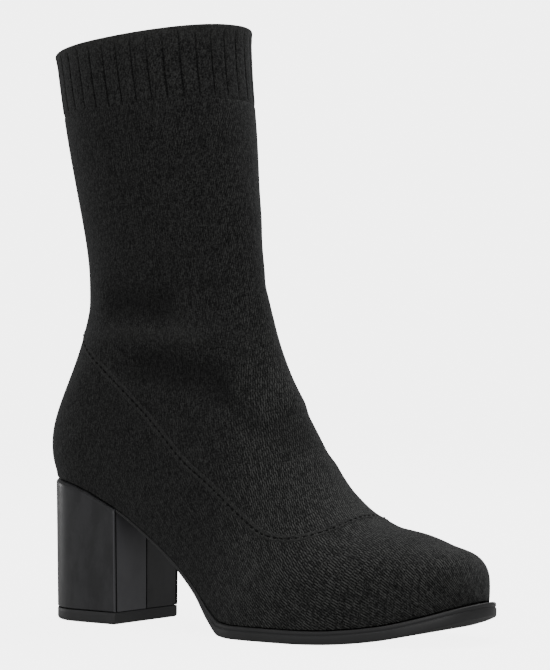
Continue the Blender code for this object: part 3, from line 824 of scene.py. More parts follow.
def new_material(name, **constants):
    """Principled material with its even values set on the shader's own sockets."""
    material = bpy.data.materials.new(name)
    material.use_nodes = True
    shader = material.node_tree.nodes["Principled BSDF"]
    for label, value in constants.items():
        shader.inputs[label.replace("_", " ")].default_value = value
    return material, material.node_tree


def link_shader(tree, **values):
    """Link values to the sockets of a material's shader."""
    shader = tree.nodes["Principled BSDF"]
    for label, value in values.items():
        tree.links.new(value.socket, shader.inputs[label.replace("_", " ")])


def bump(tree, relief, strength, depth):
    """Bump the surface of a material by a relief."""
    node = add(tree, "ShaderNodeBump", {"Height": relief, "Strength": strength, "Distance": depth})
    link_shader(tree, Normal=Value(tree, node.outputs["Normal"]))


def object_place(tree):
    """Place on the piece in metres."""
    return Value(tree, tree.nodes.new("ShaderNodeTexCoord").outputs["Object"])


def knit_place(tree):
    """Place on the piece's own UV map in metres: onward along it, then round it."""
    return Value(tree, add(tree, "ShaderNodeUVMap", uv_map="knit").outputs[0])


def knit_material(name, settings, wale_pitch, contrast, grooves=None, tone=1.0, folded=False):
    """Black heathered knit.

    contrast: how clearly its loops show. grooves: pitch, width and top of the dark lines of
    painted shade across its UV map. tone: how much paler its pale specks are. folded: its mesh
    holds the height of its folds, which gives painted highlights on ridges and painted shade
    in troughs.
    """
    material, tree = new_material(
        name, Roughness=0.82, Specular_IOR_Level=0.22, Sheen_Weight=settings.sheen,
        Sheen_Roughness=0.45, Sheen_Tint=(0.80, 0.82, 0.84, 1.0),
    )
    uv, place = knit_place(tree), object_place(tree)
    loops = place_group(tree, "loops", {
        "UV": uv, "Wale Pitch": wale_pitch, "Stroke Pitch": settings.stroke_pitch,
    })
    heather = place_group(tree, "heather", {"Place": place})
    clarity = place_group(tree, "clarity", {
        "Place": place, "UV": uv, "Side Clarity": settings.side_clarity,
        "Contrast": settings.loop_contrast * contrast,
    })
    yarn = place_group(tree, "yarn", {
        **loops, **heather, **clarity,
        "Dark": (*settings.yarn_dark, 1.0),
        "Pale": (*[value * tone for value in settings.yarn_light], 1.0),
        "Bright": (*settings.yarn_highlight, 1.0),
        "Between": (*settings.yarn_gap_shade, 1.0),
    })
    colour = yarn["Colour"]
    if grooves is not None:
        pitch, width, top = grooves
        ribs = place_group(tree, "grooves", {
            "UV": uv, "Rib Pitch": pitch, "Line Width": width, "Line Top": top,
            "Stroke Pitch": settings.stroke_pitch, "Rim Height": CUFF_FRONT,
            "Rim Light Tone": settings.rim_light_tone,
        })
        # Painted shade: dark lines down the grooves between the ribs and down the seam band's groove
        colour = mix_colour(ribs["Line"], colour, (0.0012, 0.0012, 0.0012))
        # Painted light: the yarn is painted paler towards the cuff's rim, as if lit from above
        colour = mix_colour(ribs["Lit Rim"], colour, settings.yarn_highlight)
    # Painted light: fold ridges get a painted highlight and fold troughs painted shade
    if folded:
        fold = Value(tree, add(tree, "ShaderNodeAttribute", attribute_name="fold").outputs["Fac"])
        ridge = remap(fold, 0.0, 1.0, 0.0, settings.ridge_highlight_tone)
        trough = remap(fold, -1.0, 0.0, settings.trough_shade_tone, 0.0)
        colour = mix_colour(ridge, colour, settings.yarn_highlight)
        colour = mix_colour(trough, colour, settings.yarn_gap_shade)
    link_shader(tree, Base_Color=colour, Roughness=yarn["Roughness"])
    bump(tree, yarn["Relief"], 0.85, 0.00030)
    return material


def rubber_material(name, colour, roughness, scuffed):
    """Satin moulded rubber with a fine grain and a few paler scuffs."""
    material, tree = new_material(name, Specular_IOR_Level=0.42, Coat_Weight=0.06, Coat_Roughness=0.35)
    grain = place_group(tree, "grain", {"Place": object_place(tree), "Grain Scale": 1700.0})
    pale = [min(value * 1.5 + 0.004, 1.0) for value in colour]
    link_shader(
        tree, Base_Color=mix_colour(grain["Scuff"] * scuffed, colour, pale),
        Roughness=remap(grain["Scuff"], 0.0, 1.0, roughness, roughness + 0.14),
    )
    bump(tree, grain["Height"], 0.30, 0.00006)
    return material


def cover_material(name, settings):
    """Smooth satin heel cover, with painted light on the breast's outer panel and painted shade on its inner
    one.
    """
    material, tree = new_material(name, Specular_IOR_Level=0.5, Coat_Weight=0.22, Coat_Roughness=0.28)
    place = object_place(tree)
    grain = place_group(tree, "grain", {"Place": place, "Grain Scale": 950.0, "Scuff Scale": 38.0})
    cloud = remap(noise(turned(place, scale=(1.0, 1.0, 0.45)), 130.0, 4.0, 0.6), 0.34, 0.66)
    x, y, _ = split(place)
    inner = calc("GREATER_THAN", y, 0.0)
    breast = calc("GREATER_THAN", x, HEEL_LENGTH / 2 - 0.0004)
    clouded, painted_shade, light = [[value * tone for value in settings.cover_colour]
                            for tone in (1.75, 0.45, 5.0)]
    colour = mix_colour(cloud, settings.cover_colour, clouded)
    # Painted shade on the breast's inner panel and painted light on its outer panel
    colour = mix_colour(inner * breast * 0.6, colour, painted_shade)
    colour = mix_colour((1.0 - inner) * breast * 0.7, colour, light)
    link_shader(tree, Base_Color=colour, Roughness=remap(grain["Scuff"], 0.0, 1.0, 0.40, 0.56))
    bump(tree, grain["Height"], 0.22, 0.00005)
    return material


def footbed_material(name):
    """Dark woven textile on the footbed."""
    material, tree = new_material(name, Specular_IOR_Level=0.2, Sheen_Weight=0.15, Sheen_Roughness=0.5)
    place = object_place(tree)
    heather = place_group(tree, "heather", {"Place": place, "Speck Scale": 1500.0})
    x, y, _ = split(place)
    turns = 2 * math.pi / FOOTBED_THREAD
    weave = calc("SINE", x * turns) * calc("SINE", y * turns) * 0.5 + 0.5
    link_shader(
        tree, Base_Color=mix_colour(heather["Speck"], (0.009, 0.009, 0.009), (0.022, 0.022, 0.023)),
        Roughness=remap(weave, 0.0, 1.0, 0.90, 0.78),
    )
    bump(tree, weave, 0.5, 0.00012)
    return material


def thread_material(name):
    """Dark twisted sewing thread."""
    material, tree = new_material(name, Specular_IOR_Level=0.25, Roughness=0.8)
    twist = noise(object_place(tree), 2600.0, 1.0)
    link_shader(tree, Base_Color=mix_colour(twist, (0.0010, 0.0010, 0.0010), (0.004, 0.004, 0.004)))
    return material


# Upper


def build_upper(settings):
    """Knit foot and shaft as one closed shell, tucked up behind the cuff."""
    depth = rim_height(SKIN.points[:, :, 0]) - SKIN.points[:, :, 2]
    tucked = cuff_depth(SKIN.points[:, :, 0]) - CUFF_TUCK
    last = int(np.argmax((depth < tucked).all(axis=1)))
    heel = int(np.argmax(SKIN.rows >= HEEL_ROW - 1e-9))
    last = heel + (last - heel) // COARSE * COARSE
    plain, normals = SKIN.points[:last + 1], SKIN.normals[:last + 1]
    below = rim_height(plain[:, :, 0]) - plain[:, :, 2] - cuff_depth(plain[:, :, 0])
    # The knit goes in behind the cuff between 3 mm below its lower edge and 3 mm above it
    tuck = smooth((0.0030 - below) / 0.0060)
    folds = fold_height(plain.reshape(-1, 3), settings.fold_depth).reshape(tuck.shape)
    shift = (folds * (1 - tuck) - tuck * (CUFF_STEP + TUCK_INSET))[:, :, None]
    wall = (WALL * (1 - 0.6 * tuck))[:, :, None]
    skin = plain + normals * shift
    inner = (skin - normals * wall)[::COARSE, ::COARSE]
    # Both copies of the toe line and of the back line get one inner place
    inner[0] = (inner[0] + inner[0, ::-1]) / 2
    low = heel // COARSE
    inner[low:, 0] = inner[low:, -1] = (inner[low:, 0] + inner[low:, -1]) / 2
    # The inner edge comes down to the outsole, so that no light gets in below the knit
    inner[:low + 1, [0, -1], 2] -= UPPER_GAP - 0.00008
    rows, width = skin.shape[:2]
    in_rows, in_width = inner.shape[:2]
    row_grid, share_grid = np.meshgrid(SKIN.rows[:last + 1], SKIN.shares, indexing="ij")
    along = np.interp(row_grid, SKIN.rows, SKIN.along)
    uv = np.stack([along, SKIN.across(row_grid, share_grid)], axis=2)
    first = rows * width
    numbers = np.arange(first).reshape(rows, width)
    in_numbers = first + np.arange(in_rows * in_width).reshape(in_rows, in_width)
    faces = grid_faces(0, rows, width) + grid_faces(first, in_rows, in_width, flip=True)
    faces += rim_faces(numbers[-1], in_numbers[-1], flip=True)
    faces += rim_faces(numbers[:heel + 1, 0], in_numbers[:low + 1, 0], flip=True)
    faces += rim_faces(numbers[:heel + 1, -1], in_numbers[:low + 1, -1])
    vertices = np.concatenate([skin.reshape(-1, 3), inner.reshape(-1, 3)])
    uvs = np.concatenate([uv.reshape(-1, 2), uv[::COARSE, ::COARSE].reshape(-1, 2)])
    material = knit_material("black heathered knit", settings, settings.wale_pitch, 1.0, folded=True)
    item = new_piece("knit_upper", vertices, faces, material, uvs, sharp=60)
    places = np.array([vertex.co for vertex in item.data.vertices])
    # Fold heights, which the knit material turns into painted highlights on ridges and painted shade in
    # troughs
    layer = item.data.attributes.new("fold", "FLOAT", "POINT")
    layer.data.foreach_set("value", np.clip(fold_height(places, 1.0) / FULL_FOLD, -1.0, 1.0))
    dress(item, "knit", "upper")


def new_geometry_tree(name, inputs):
    """Start a geometry tree. inputs: kind and default by name, None for no default."""
    tree = bpy.data.node_groups.new(name, "GeometryNodeTree")
    tree.is_modifier = True
    for label, (kind, default) in inputs.items():
        socket = tree.interface.new_socket(label, in_out="INPUT", socket_type="NodeSocket" + kind)
        if default is not None:
            socket.subtype = "DISTANCE"
            socket.default_value = default
    given = tree.nodes.new("NodeGroupInput")
    return tree, {label: Value(tree, given.outputs[label]) for label in inputs}


def end_geometry_tree(tree, name, geometry, material):
    """End a geometry tree in real geometry with its material."""
    tree.interface.new_socket(name, in_out="OUTPUT", socket_type="NodeSocketGeometry")
    real = add(tree, "GeometryNodeRealizeInstances", {"Geometry": geometry})
    paint = add(tree, "GeometryNodeSetMaterial", {
        "Geometry": Value(tree, real.outputs["Geometry"]), "Material": material,
    })
    result = tree.nodes.new("NodeGroupOutput")
    tree.links.new(paint.outputs["Geometry"], result.inputs[0])
    return tree


def run_tree(item, tree, values):
    """Run a geometry tree on an object with its inputs by name, and keep a plain mesh."""
    modifier = item.modifiers.new(tree.name, "NODES")
    modifier.node_group = tree
    for socket in tree.interface.items_tree:
        if socket.in_out == "INPUT" and socket.name in values:
            modifier[socket.identifier] = values[socket.name]
    item.update_tag()
    bpy.context.view_layer.update()
    evaluated = item.evaluated_get(bpy.context.evaluated_depsgraph_get())
    mesh = bpy.data.meshes.new_from_object(evaluated)
    mesh.name = item.name
    item.modifiers.remove(modifier)
    item.data = mesh


def rib_tree():
    """Geometry nodes that press rib grooves into a sleeve along its stored lines."""
    tree, given = new_geometry_tree("Cuff Ribs", {
        "Sleeve": ("Geometry", None), "Groove Depth": ("Float", 0.0007),
        "Groove Width": ("Float", 0.0011), "Rib Crown": ("Float", 0.0002),
        "Material": ("Material", None),
    })

    def stored(name):
        node = add(tree, "GeometryNodeInputNamedAttribute", {"Name": name}, data_type="FLOAT")
        return Value(tree, node.outputs["Attribute"])

    groove = calc("SUBTRACT", 1.0, stored("from_groove") / given["Groove Width"] * 2.0, clamp=True)
    sunk = calc("POWER", groove, 0.7) * given["Groove Depth"]
    raised = calc("SINE", stored("round_rib") * math.pi) * given["Rib Crown"]
    outward = tree.nodes.new("GeometryNodeInputNormal")
    shift = add(tree, "ShaderNodeVectorMath", operation="SCALE")
    tree.links.new(outward.outputs[0], shift.inputs[0])
    tree.links.new(((raised - sunk) * stored("rib_share")).socket, shift.inputs["Scale"])
    move = add(tree, "GeometryNodeSetPosition", {
        "Geometry": given["Sleeve"], "Offset": Value(tree, shift.outputs[0]),
    })
    pressed = Value(tree, move.outputs["Geometry"])
    return end_geometry_tree(tree, "Ribs", pressed, given["Material"])


# Places round one rib, from the middle of one groove to the next
RIB_STEPS = (0.0, 0.035, 0.07, 0.115, 0.18, 0.30, 0.50, 0.70, 0.82, 0.885, 0.93, 0.965)


def build_cuff(settings, knit):
    """Folded ribbed cuff: outer face, round hem and inner face as one closed sleeve."""
    per_side = settings.ribs // 2
    around = np.array([k + step for k in range(settings.ribs) for step in RIB_STEPS] + [settings.ribs])
    shares = around / per_side - 1.0
    # Rows near the collar, close enough together to read any depth of the cuff from
    fine = np.linspace(21.5, COLLAR_ROW, 140)
    row_grid, share_grid = np.meshgrid(fine, shares, indexing="ij")
    table = SKIN.read(SKIN.points, row_grid, share_grid)
    below = rim_height(table[:, :, 0]) - table[:, :, 2]
    bottom = cuff_depth(table[-1, :, 0])
    deepest = 1.0 + CUFF_BELOW / CUFF_FRONT
    top = RIM_ROUND / CUFF_FRONT
    # Levels: depth below the rim as a share of the cuff's depth, then the inset of the face
    turn = np.linspace(0.0, math.pi / 2, 6)
    levels = [(t, TUCK_INSET * smooth((t - 1.0) / (deepest - 1.0))) for t in np.linspace(deepest, top, 40)]
    levels += [(top * (1 - math.sin(a)), RIM_ROUND * (1 - math.cos(a))) for a in turn[1:]]
    levels += [(top * (1 - math.sin(a)), CUFF_WALL - RIM_ROUND * (1 - math.cos(a)))
               for a in turn[:0:-1]]
    levels += [(t, CUFF_WALL) for t in np.linspace(top, deepest, 14)]
    points, uvs, rib_share = [], [], []
    for share_down, inset in levels:
        level = [np.interp(-share_down * bottom[k], -below[:, k], fine) for k in range(len(shares))]
        place, normal = SKIN.place(np.array(level), shares)
        flat = normal.copy()
        flat[:, 2] *= 0.25
        flat /= np.linalg.norm(flat, axis=1)[:, None]
        flare = RIM_FLARE * float(smooth(1 - share_down * CUFF_FRONT / 0.007))
        place = place - flat * (CUFF_STEP + inset - flare)
        sway = RIM_SWAY * np.cos(2 * math.pi * (shares - RIM_SWAY_TURN))
        place[:, 2] += sway * (1 - min(share_down, 1.0))
        points.append(place)
        height = (1 - share_down) * CUFF_FRONT
        uvs.append(np.column_stack([np.full(len(shares), height), around * settings.rib_pitch]))
        hem = smooth((CUFF_FRONT - settings.hem - height) / 0.0012)
        on = 1.0 if inset < 0.0005 and share_down <= 1.0 else 0.0
        rib_share.append(np.full(len(shares), on * (0.10 + 0.90 * hem)))
    points = np.array(points)
    points[:, 0] = points[:, -1] = (points[:, 0] + points[:, -1]) / 2
    count, width = points.shape[:2]
    faces = grid_faces(0, count, width)
    numbers = np.arange(count * width).reshape(count, width)
    for i in range(width - 1):
        faces.append((numbers[-1, i], numbers[0, i], numbers[0, i + 1], numbers[-1, i + 1]))
    faces = [tuple(int(n) for n in face) for face in faces]
    item = new_piece("ribbed_cuff", points.reshape(-1, 3), faces, None, np.concatenate(uvs))
    store_rib_values(item, settings, np.concatenate(rib_share), points.reshape(-1, 3),
                     np.tile(around, count))
    grooves = (settings.rib_pitch, settings.groove_width, CUFF_FRONT - settings.hem)
    material = knit_material("ribbed black knit", knit, knit.wale_pitch * 0.8, 0.55, grooves, CUFF_TONE)
    run_tree(item, rib_tree(), {
        "Groove Depth": settings.groove_depth, "Groove Width": settings.groove_width,
        "Rib Crown": settings.rib_crown, "Material": material,
    })
    dress(item, "knit")


def store_rib_values(item, settings, rib_share, places, around):
    """Store on each vertex how near its groove it is and how much of the ribbing it takes."""
    tree = KDTree(len(places))
    for i, place in enumerate(places):
        tree.insert(place, i)
    tree.balance()
    from_groove, round_rib, taken = [], [], []
    for vertex in item.data.vertices:
        i = tree.find(vertex.co)[1]
        turn = around[i] % 1.0
        from_groove.append(min(turn, 1.0 - turn) * settings.rib_pitch)
        round_rib.append(turn)
        taken.append(rib_share[i])
    for name, values in (("from_groove", from_groove), ("round_rib", round_rib), ("rib_share", taken)):
        layer = item.data.attributes.new(name, "FLOAT", "POINT")
        layer.data.foreach_set("value", values)


# Seam


def seam_frames(spacing, strength):
    """Points on the foot seam with their outward, onward and sideways directions."""
    points, normals, length = seam_places(spacing)
    points = points + normals * fold_height(points, strength)[:, None]
    onward = np.roll(points, -1, axis=0) - np.roll(points, 1, axis=0)
    onward /= np.linalg.norm(onward, axis=1)[:, None]
    sideways = np.cross(normals, onward)
    sideways /= np.linalg.norm(sideways, axis=1)[:, None]
    return points, normals, onward, sideways, length


def build_seam(settings, knit):
    """Lapped seam band round the foot: the leg's edge lies over the foot's with a groove between."""
    points, normals, onward, sideways, length = seam_frames(0.0008, knit.fold_depth)
    # Sideways place and height of the band's profile, foot side first, then its buried underside
    profile = [
        (-2.1, -0.08), (-1.5, 0.10), (-0.9, 0.24), (-0.45, 0.22), (-0.15, -0.22), (0.15, -0.24),
        (0.40, 0.14), (0.80, 0.22), (1.30, 0.18), (1.8, 0.08), (2.4, -0.08), (1.4, -0.7), (-1.2, -0.7),
    ]
    # The profile is drawn in millimetres for a band 4.3 mm wide
    scale = settings.band_width / 4.3
    flip = 1.0 if sideways[len(points) // 4][2] > 0 else -1.0
    rings = np.array([points + sideways * (a * scale * flip) + normals * (b * MILLIMETRE)
                      for a, b in profile])
    rings = np.swapaxes(rings, 0, 1)
    count, width = rings.shape[:2]
    along = np.arange(count) * length / count
    across = np.array([a * scale for a, _ in profile])
    uvs = np.stack(np.meshgrid(along, across, indexing="ij"), axis=2).reshape(-1, 2)
    faces = []
    for i in range(count):
        for k in range(width):
            a, b = i * width + k, i * width + (k + 1) % width
            c, d = ((i + 1) % count) * width + (k + 1) % width, ((i + 1) % count) * width + k
            faces.append((a, b, c, d) if flip > 0 else (a, d, c, b))
    # One dark line of painted shade along the band's middle groove, over its whole run
    material = knit_material("seam edge knit", knit, knit.wale_pitch, 0.35, (0.010, 0.0008, 10.0))
    item = new_piece("foot_seam", rings.reshape(-1, 3), faces, material, uvs)
    dress(item, "knit")


def stitch_tree():
    """Geometry nodes that lay short sunk stitches along a seam line of points."""
    tree, given = new_geometry_tree("Seam Stitches", {
        "Line": ("Geometry", None), "Stitch Pitch": ("Float", 0.0017),
        "Stitch Length": ("Float", 0.0010), "Thread": ("Float", 0.0005),
        "Seed": ("Int", None), "Material": ("Material", None),
    })

    def made(kind, inputs, output, **settings):
        return Value(tree, add(tree, kind, inputs, **settings).outputs[output])

    curve = made("GeometryNodeMeshToCurve", {"Mesh": given["Line"]}, "Curve")
    points = add(tree, "GeometryNodeCurveToPoints", {"Curve": curve, "Length": given["Stitch Pitch"]},
                 mode="LENGTH")
    bead = made("GeometryNodeMeshUVSphere", {"Segments": 10, "Rings": 6, "Radius": 0.5}, "Mesh")
    size = made("ShaderNodeCombineXYZ", {
        "X": given["Thread"], "Y": given["Thread"], "Z": given["Stitch Length"],
    }, 0)
    stitch = made("GeometryNodeTransform", {"Geometry": bead, "Scale": size}, "Geometry")
    vary = made("FunctionNodeRandomValue", {2: 0.8, 3: 1.15, "Seed": given["Seed"]}, 1, data_type="FLOAT")
    laid = made("GeometryNodeInstanceOnPoints", {
        "Points": Value(tree, points.outputs["Points"]), "Instance": stitch,
        "Rotation": Value(tree, points.outputs["Rotation"]), "Scale": vary,
    }, "Instances")
    return end_geometry_tree(tree, "Stitches", laid, given["Material"])


def build_stitches(settings, knit):
    """Short dark stitches sunk in the groove of the foot seam."""
    points, normals = seam_frames(0.0012, knit.fold_depth)[:2]
    line = points + normals * settings.stitch_height
    count = len(line)
    mesh = bpy.data.meshes.new("seam_stitches")
    mesh.from_pydata(line.tolist(), [(i, (i + 1) % count) for i in range(count)], [])
    item = bpy.data.objects.new("seam_stitches", mesh)
    bpy.context.scene.collection.objects.link(item)
    run_tree(item, stitch_tree(), {
        "Stitch Pitch": settings.stitch_pitch, "Stitch Length": settings.stitch_length,
        "Thread": settings.thread, "Seed": 3, "Material": thread_material("seam thread"),
    })
    item.data.shade_smooth()
    dress(item, "knit")


# Sole and heel


def feather_rows(first, last, spacing):
    """Rows along the feather edge whose points lie about one spacing apart."""
    fine = np.linspace(first, last, 1200)
    edge = np.column_stack([SPLINES["along"](fine), SPLINES["outer"](fine)])
    lengths = travelled(edge)
    count = max(2, int(round(lengths[-1] / spacing)))
    return np.interp(np.linspace(0.0, lengths[-1], count + 1), lengths, fine)


def row_at(along):
    """Row in the back of the foot whose feather point lies at a place along it."""
    fine = np.linspace(len(FOREPART) - 1, HEEL_ROW, 4000)
    return float(np.interp(-along, -SPLINES["along"](fine), fine))


def shifted(ring, distances):
    """Move each point of a closed plan outline outward by its own distance."""
    chord = np.roll(ring, -1, axis=0) - np.roll(ring, 1, axis=0)
    normal = np.column_stack([-chord[:, 1], chord[:, 0]])
    normal /= np.linalg.norm(normal, axis=1)[:, None]
    return ring + normal * np.broadcast_to(distances, len(ring))[:, None]


def foot_ring(spacing):
    """Feather edge as one closed outline, toe tip first, outer side to the heel, inner side back."""
    breast = row_at(HEEL_LENGTH)
    rows = np.concatenate([
        feather_rows(0.0, breast, spacing)[:-1],
        [breast, row_at(HEEL_LENGTH + GAP)],
        feather_rows(breast, HEEL_ROW, spacing * 2)[1:],
    ])
    rows = np.unique(rows)
    outer = np.column_stack([SPLINES["along"](rows), SPLINES["outer"](rows)])
    inner = np.column_stack([SPLINES["along"](rows), SPLINES["inner"](rows)])
    return np.concatenate([outer, inner[-2:0:-1]])


def to_row_frame(points):
    """Move points from the heel's back to the row frame's origin."""
    moved = np.array(points, dtype=float)
    moved[..., 0] -= HEEL_LENGTH / 2
    return moved


def rung_cap(points, top, across, relief=None):
    """Surface across a closed ring that starts at one point, as vertices and faces.

    points: the ring's places. across: steps over each rung. relief: gives how far a
    place is raised. The rung ends are the ring's own places, so that they merge.
    """
    count = len(points)
    vertices, faces = [], []
    pairs = [(i, (count - i) % count) for i in range(count // 2 + 1)]
    for i, j in pairs:
        for k in range(across + 1):
            t = k / across
            place = points[i] * (1 - t) + points[j] * t
            if relief is not None and 0 < k < across:
                place = place + (0.0, 0.0, relief(place, points[i], points[j]))
            vertices.append(place)
    for i in range(len(pairs) - 1):
        for k in range(across):
            a, b = i * (across + 1) + k, i * (across + 1) + k + 1
            c, d = b + across + 1, a + across + 1
            faces.append((a, d, c, b) if top else (a, b, c, d))
    return vertices, faces


# Outsole edge from its top down: share of the thickness, and setback in millimetres
SOLE_PROFILE = [
    (0.000, 0.90), (0.010, 0.56), (0.045, 0.28), (0.100, 0.16), (0.200, 0.15), (0.245, 0.22),
    (0.275, 0.42), (0.305, 0.46), (0.340, 0.38), (0.370, 0.12), (0.420, 0.04), (0.600, 0.00),
    (0.800, 0.04), (0.900, 0.16), (0.960, 0.40), (1.000, 0.95),
]
TREAD_FRONT = 0.218
TREAD_BACK = 0.112


def build_outsole(settings):
    """Rubber sole with its lipped, grooved edge and fine bars under the forefoot."""
    ring = foot_ring(0.0009)
    thick = sole_thickness(ring[:, 0])
    body = (thick - WAIST_EDGE) / (SOLE_EDGE - WAIST_EDGE)
    ledges = sole_ledge(ring[:, 0])
    levels = []
    for down, setback in SOLE_PROFILE:
        plan = shifted(ring, ledges - setback * MILLIMETRE * (0.30 + 0.70 * body))
        levels.append(to_row_frame(np.column_stack([plan, seat_height(ring[:, 0]) - thick * down])))
    count = len(ring)
    vertices = [tuple(point) for level in levels for point in level]
    faces = []
    for k in range(len(levels) - 1):
        for i in range(count):
            j = (i + 1) % count
            faces.append((k * count + i, k * count + j, (k + 1) * count + j, (k + 1) * count + i))

    def bars(place, left, right):
        x = place[0] + HEEL_LENGTH / 2
        edge = min(abs(place[1] - left[1]), abs(place[1] - right[1]))
        zone = smooth((x - TREAD_BACK) / 0.004) * smooth((TREAD_FRONT - x) / 0.004)
        zone *= smooth((edge - 0.0045) / 0.0012)
        wave = math.cos(2 * math.pi * (x + 0.0012 * math.sin(place[1] * 260.0)) / settings.tread_pitch)
        return settings.tread_depth * float(zone) * float(smooth(0.5 + wave * 1.4))

    first_tread = 0
    for level, top, relief in ((levels[0], True, None), (levels[-1], False, bars)):
        first_tread = len(faces)
        cap_vertices, cap_faces = rung_cap(level, top, 28, relief)
        first = len(vertices)
        vertices += [tuple(point) for point in cap_vertices]
        faces += [tuple(n + first for n in face) for face in cap_faces]
    material = rubber_material("black sole rubber", settings.rubber, 0.42, 0.35)
    tread = rubber_material("black tread rubber", settings.tread, 0.60, 0.6)
    item = new_piece("rubber_outsole", vertices, faces, material, sharp=42, second=tread,
                     dark_faces=range(first_tread, len(faces)))
    dress(item, "outsole_rubber", "outsole")


def heel_outline(inset, corner, seam_width, seam_depth):
    """Plan outline of the heel with round breast corners and sunk cover seams, clockwise from above.

    seam_depth: 0 gives the plain outline with the same number of points. Gives the points
    and a flag for each one that starts a stretch inside a seam.
    """
    rows = feather_rows(row_at(HEEL_LENGTH), HEEL_ROW, 0.0011)
    outer = np.column_stack([SPLINES["along"](rows), SPLINES["outer"](rows)])
    inner = np.column_stack([SPLINES["along"](rows), SPLINES["inner"](rows)])
    back = shifted(np.concatenate([outer, inner[-2::-1]]), -inset)
    left, right = outer[0, 1] + inset, inner[0, 1] - inset
    breast = HEEL_LENGTH
    back = back[1:-1]
    back = back[back[:, 0] < breast - corner]
    angles = np.linspace(0.0, math.pi / 2, 7)
    flat = breast - corner
    inner_corner = [(flat + corner * math.sin(a), right - corner + corner * math.cos(a)) for a in angles]
    outer_corner = [(flat + corner * math.cos(a), left + corner - corner * math.sin(a)) for a in angles]
    steps = np.linspace(0.0, 1.0, 13)[1:-1]
    seams = [right - corner - seam_width, (left + right) / 2, left + corner + seam_width]
    front, painted_shade = [], []
    for k, middle in enumerate(seams):
        half = seam_width / 2
        # Points that start a stretch inside a seam, whose faces get painted shade
        painted_shade += [len(front) + n for n in range(4)]
        front += [(breast, middle + half), (breast - seam_depth * 0.8, middle + half * 0.45),
                  (breast - seam_depth, middle), (breast - seam_depth * 0.8, middle - half * 0.45),
                  (breast, middle - half)]
        if k < 2:
            first, last = middle - half, seams[k + 1] + half
            front += [(breast, first + (last - first) * t) for t in steps]
    flags = np.zeros(len(back) + 2 * len(angles) + len(front), dtype=bool)
    flags[np.array(painted_shade) + len(back) + len(angles)] = True
    return np.concatenate([back, inner_corner, front, outer_corner]), flags


def loft_ring(rings):
    """Side faces through closed rings of equal count, lowest ring first."""
    count = len(rings[0])
    faces = []
    for k in range(len(rings) - 1):
        for i in range(count):
            j = (i + 1) % count
            faces.append((k * count + i, (k + 1) * count + i, (k + 1) * count + j, k * count + j))
    return faces


def build_heel(settings):
    """Covered heel block with sunk seams at its breast corners and down the breast, painted shade inside the
    seams.
    """
    plain, in_seam = heel_outline(-HEEL_FLARE, settings.corner, settings.seam_width, settings.seam_depth)
    foot_z = LIFT_HEIGHT + GAP
    seat = seat_height(plain[:, 0]) - GAP
    rings = []

    def ring_at(outline, height):
        return to_row_frame(np.column_stack([outline, height]))

    # Levels: share of the way up to the seat, then the outline's extra inset
    levels = [(0.0, 0.00060), (0.003, 0.00025), (0.008, 0.0)]
    levels += [(t, 0.0) for t in np.linspace(0.05, 0.95, 19)]
    levels += [(0.970, 0.0), (0.984, 0.0004), (1.0, 0.0016)]
    for t, extra in levels:
        inset = -HEEL_FLARE + HEEL_TAPER * (1 - t) + extra
        outline, _ = heel_outline(inset, settings.corner, settings.seam_width, settings.seam_depth)
        rings.append(ring_at(outline, foot_z + (seat - foot_z) * t))
    rim, _ = heel_outline(HEEL_RIM, settings.corner, settings.seam_width, 0.0)
    rim[:, 0] = np.where(rim[:, 0] > HEEL_LENGTH - settings.corner - 1e-6, plain[:, 0], rim[:, 0])
    rings.append(ring_at(rim, seat))
    rings.append(ring_at(rim, seat_height(rim[:, 0]) - sole_thickness(rim[:, 0]) - GAP))
    count = len(plain)
    vertices = np.concatenate(rings)
    faces = loft_ring(rings)
    faces.append(tuple(range(count)))
    faces.append(tuple(range((len(rings) - 1) * count, len(rings) * count))[::-1])
    # Faces inside the sunk seams get painted shade
    painted_shade = [k * count + i for k in range(len(levels) - 1) for i in range(count) if in_seam[i]]
    material = cover_material("satin heel cover", settings)
    seam = rubber_material("painted cover seam shade", settings.seam_shade_colour, 0.75, 0.2)
    item = new_piece("covered_heel", vertices, faces, material, sharp=35, second=seam, dark_faces=painted_shade)
    dress(item, "heel_cover", "heel_block")


def build_lift(settings):
    """Rubber top lift with round corners and a rounded ground edge."""
    inset = -HEEL_FLARE + HEEL_TAPER
    rings = []
    round_off = settings.lift_round
    profile = [(round_off * (1 - math.sin(a)), round_off * (1 - math.cos(a)))
               for a in np.linspace(math.pi / 2, 0.0, 7)]
    profile += [(0.0024, 0.0), (0.0040, 0.0), (LIFT_HEIGHT - 0.0004, 0.0)]
    profile += [(LIFT_HEIGHT - 0.0001, 0.0002), (LIFT_HEIGHT, 0.0005)]
    for height, extra in profile:
        outline, _ = heel_outline(inset + extra, settings.lift_corner, settings.seam_width, 0.0)
        outline[:, 0] = np.minimum(outline[:, 0], HEEL_LENGTH - extra)
        rings.append(to_row_frame(np.column_stack([outline, np.full(len(outline), height)])))
    count = len(rings[0])
    faces = loft_ring(rings)
    faces.append(tuple(range(count)))
    faces.append(tuple(range((len(rings) - 1) * count, len(rings) * count))[::-1])
    material = rubber_material("black lift rubber", settings.lift_colour, 0.50, 0.5)
    item = new_piece("rubber_top_lift", np.concatenate(rings), faces, material, sharp=35)
    dress(item, "lift_rubber", "top_lift")


def finish_insole():
    """Give the footbed's own solid its textile."""
    node = need_solid("insole")
    node.data.materials.clear()
    node.data.materials.append(footbed_material("footbed textile"))


# Stage


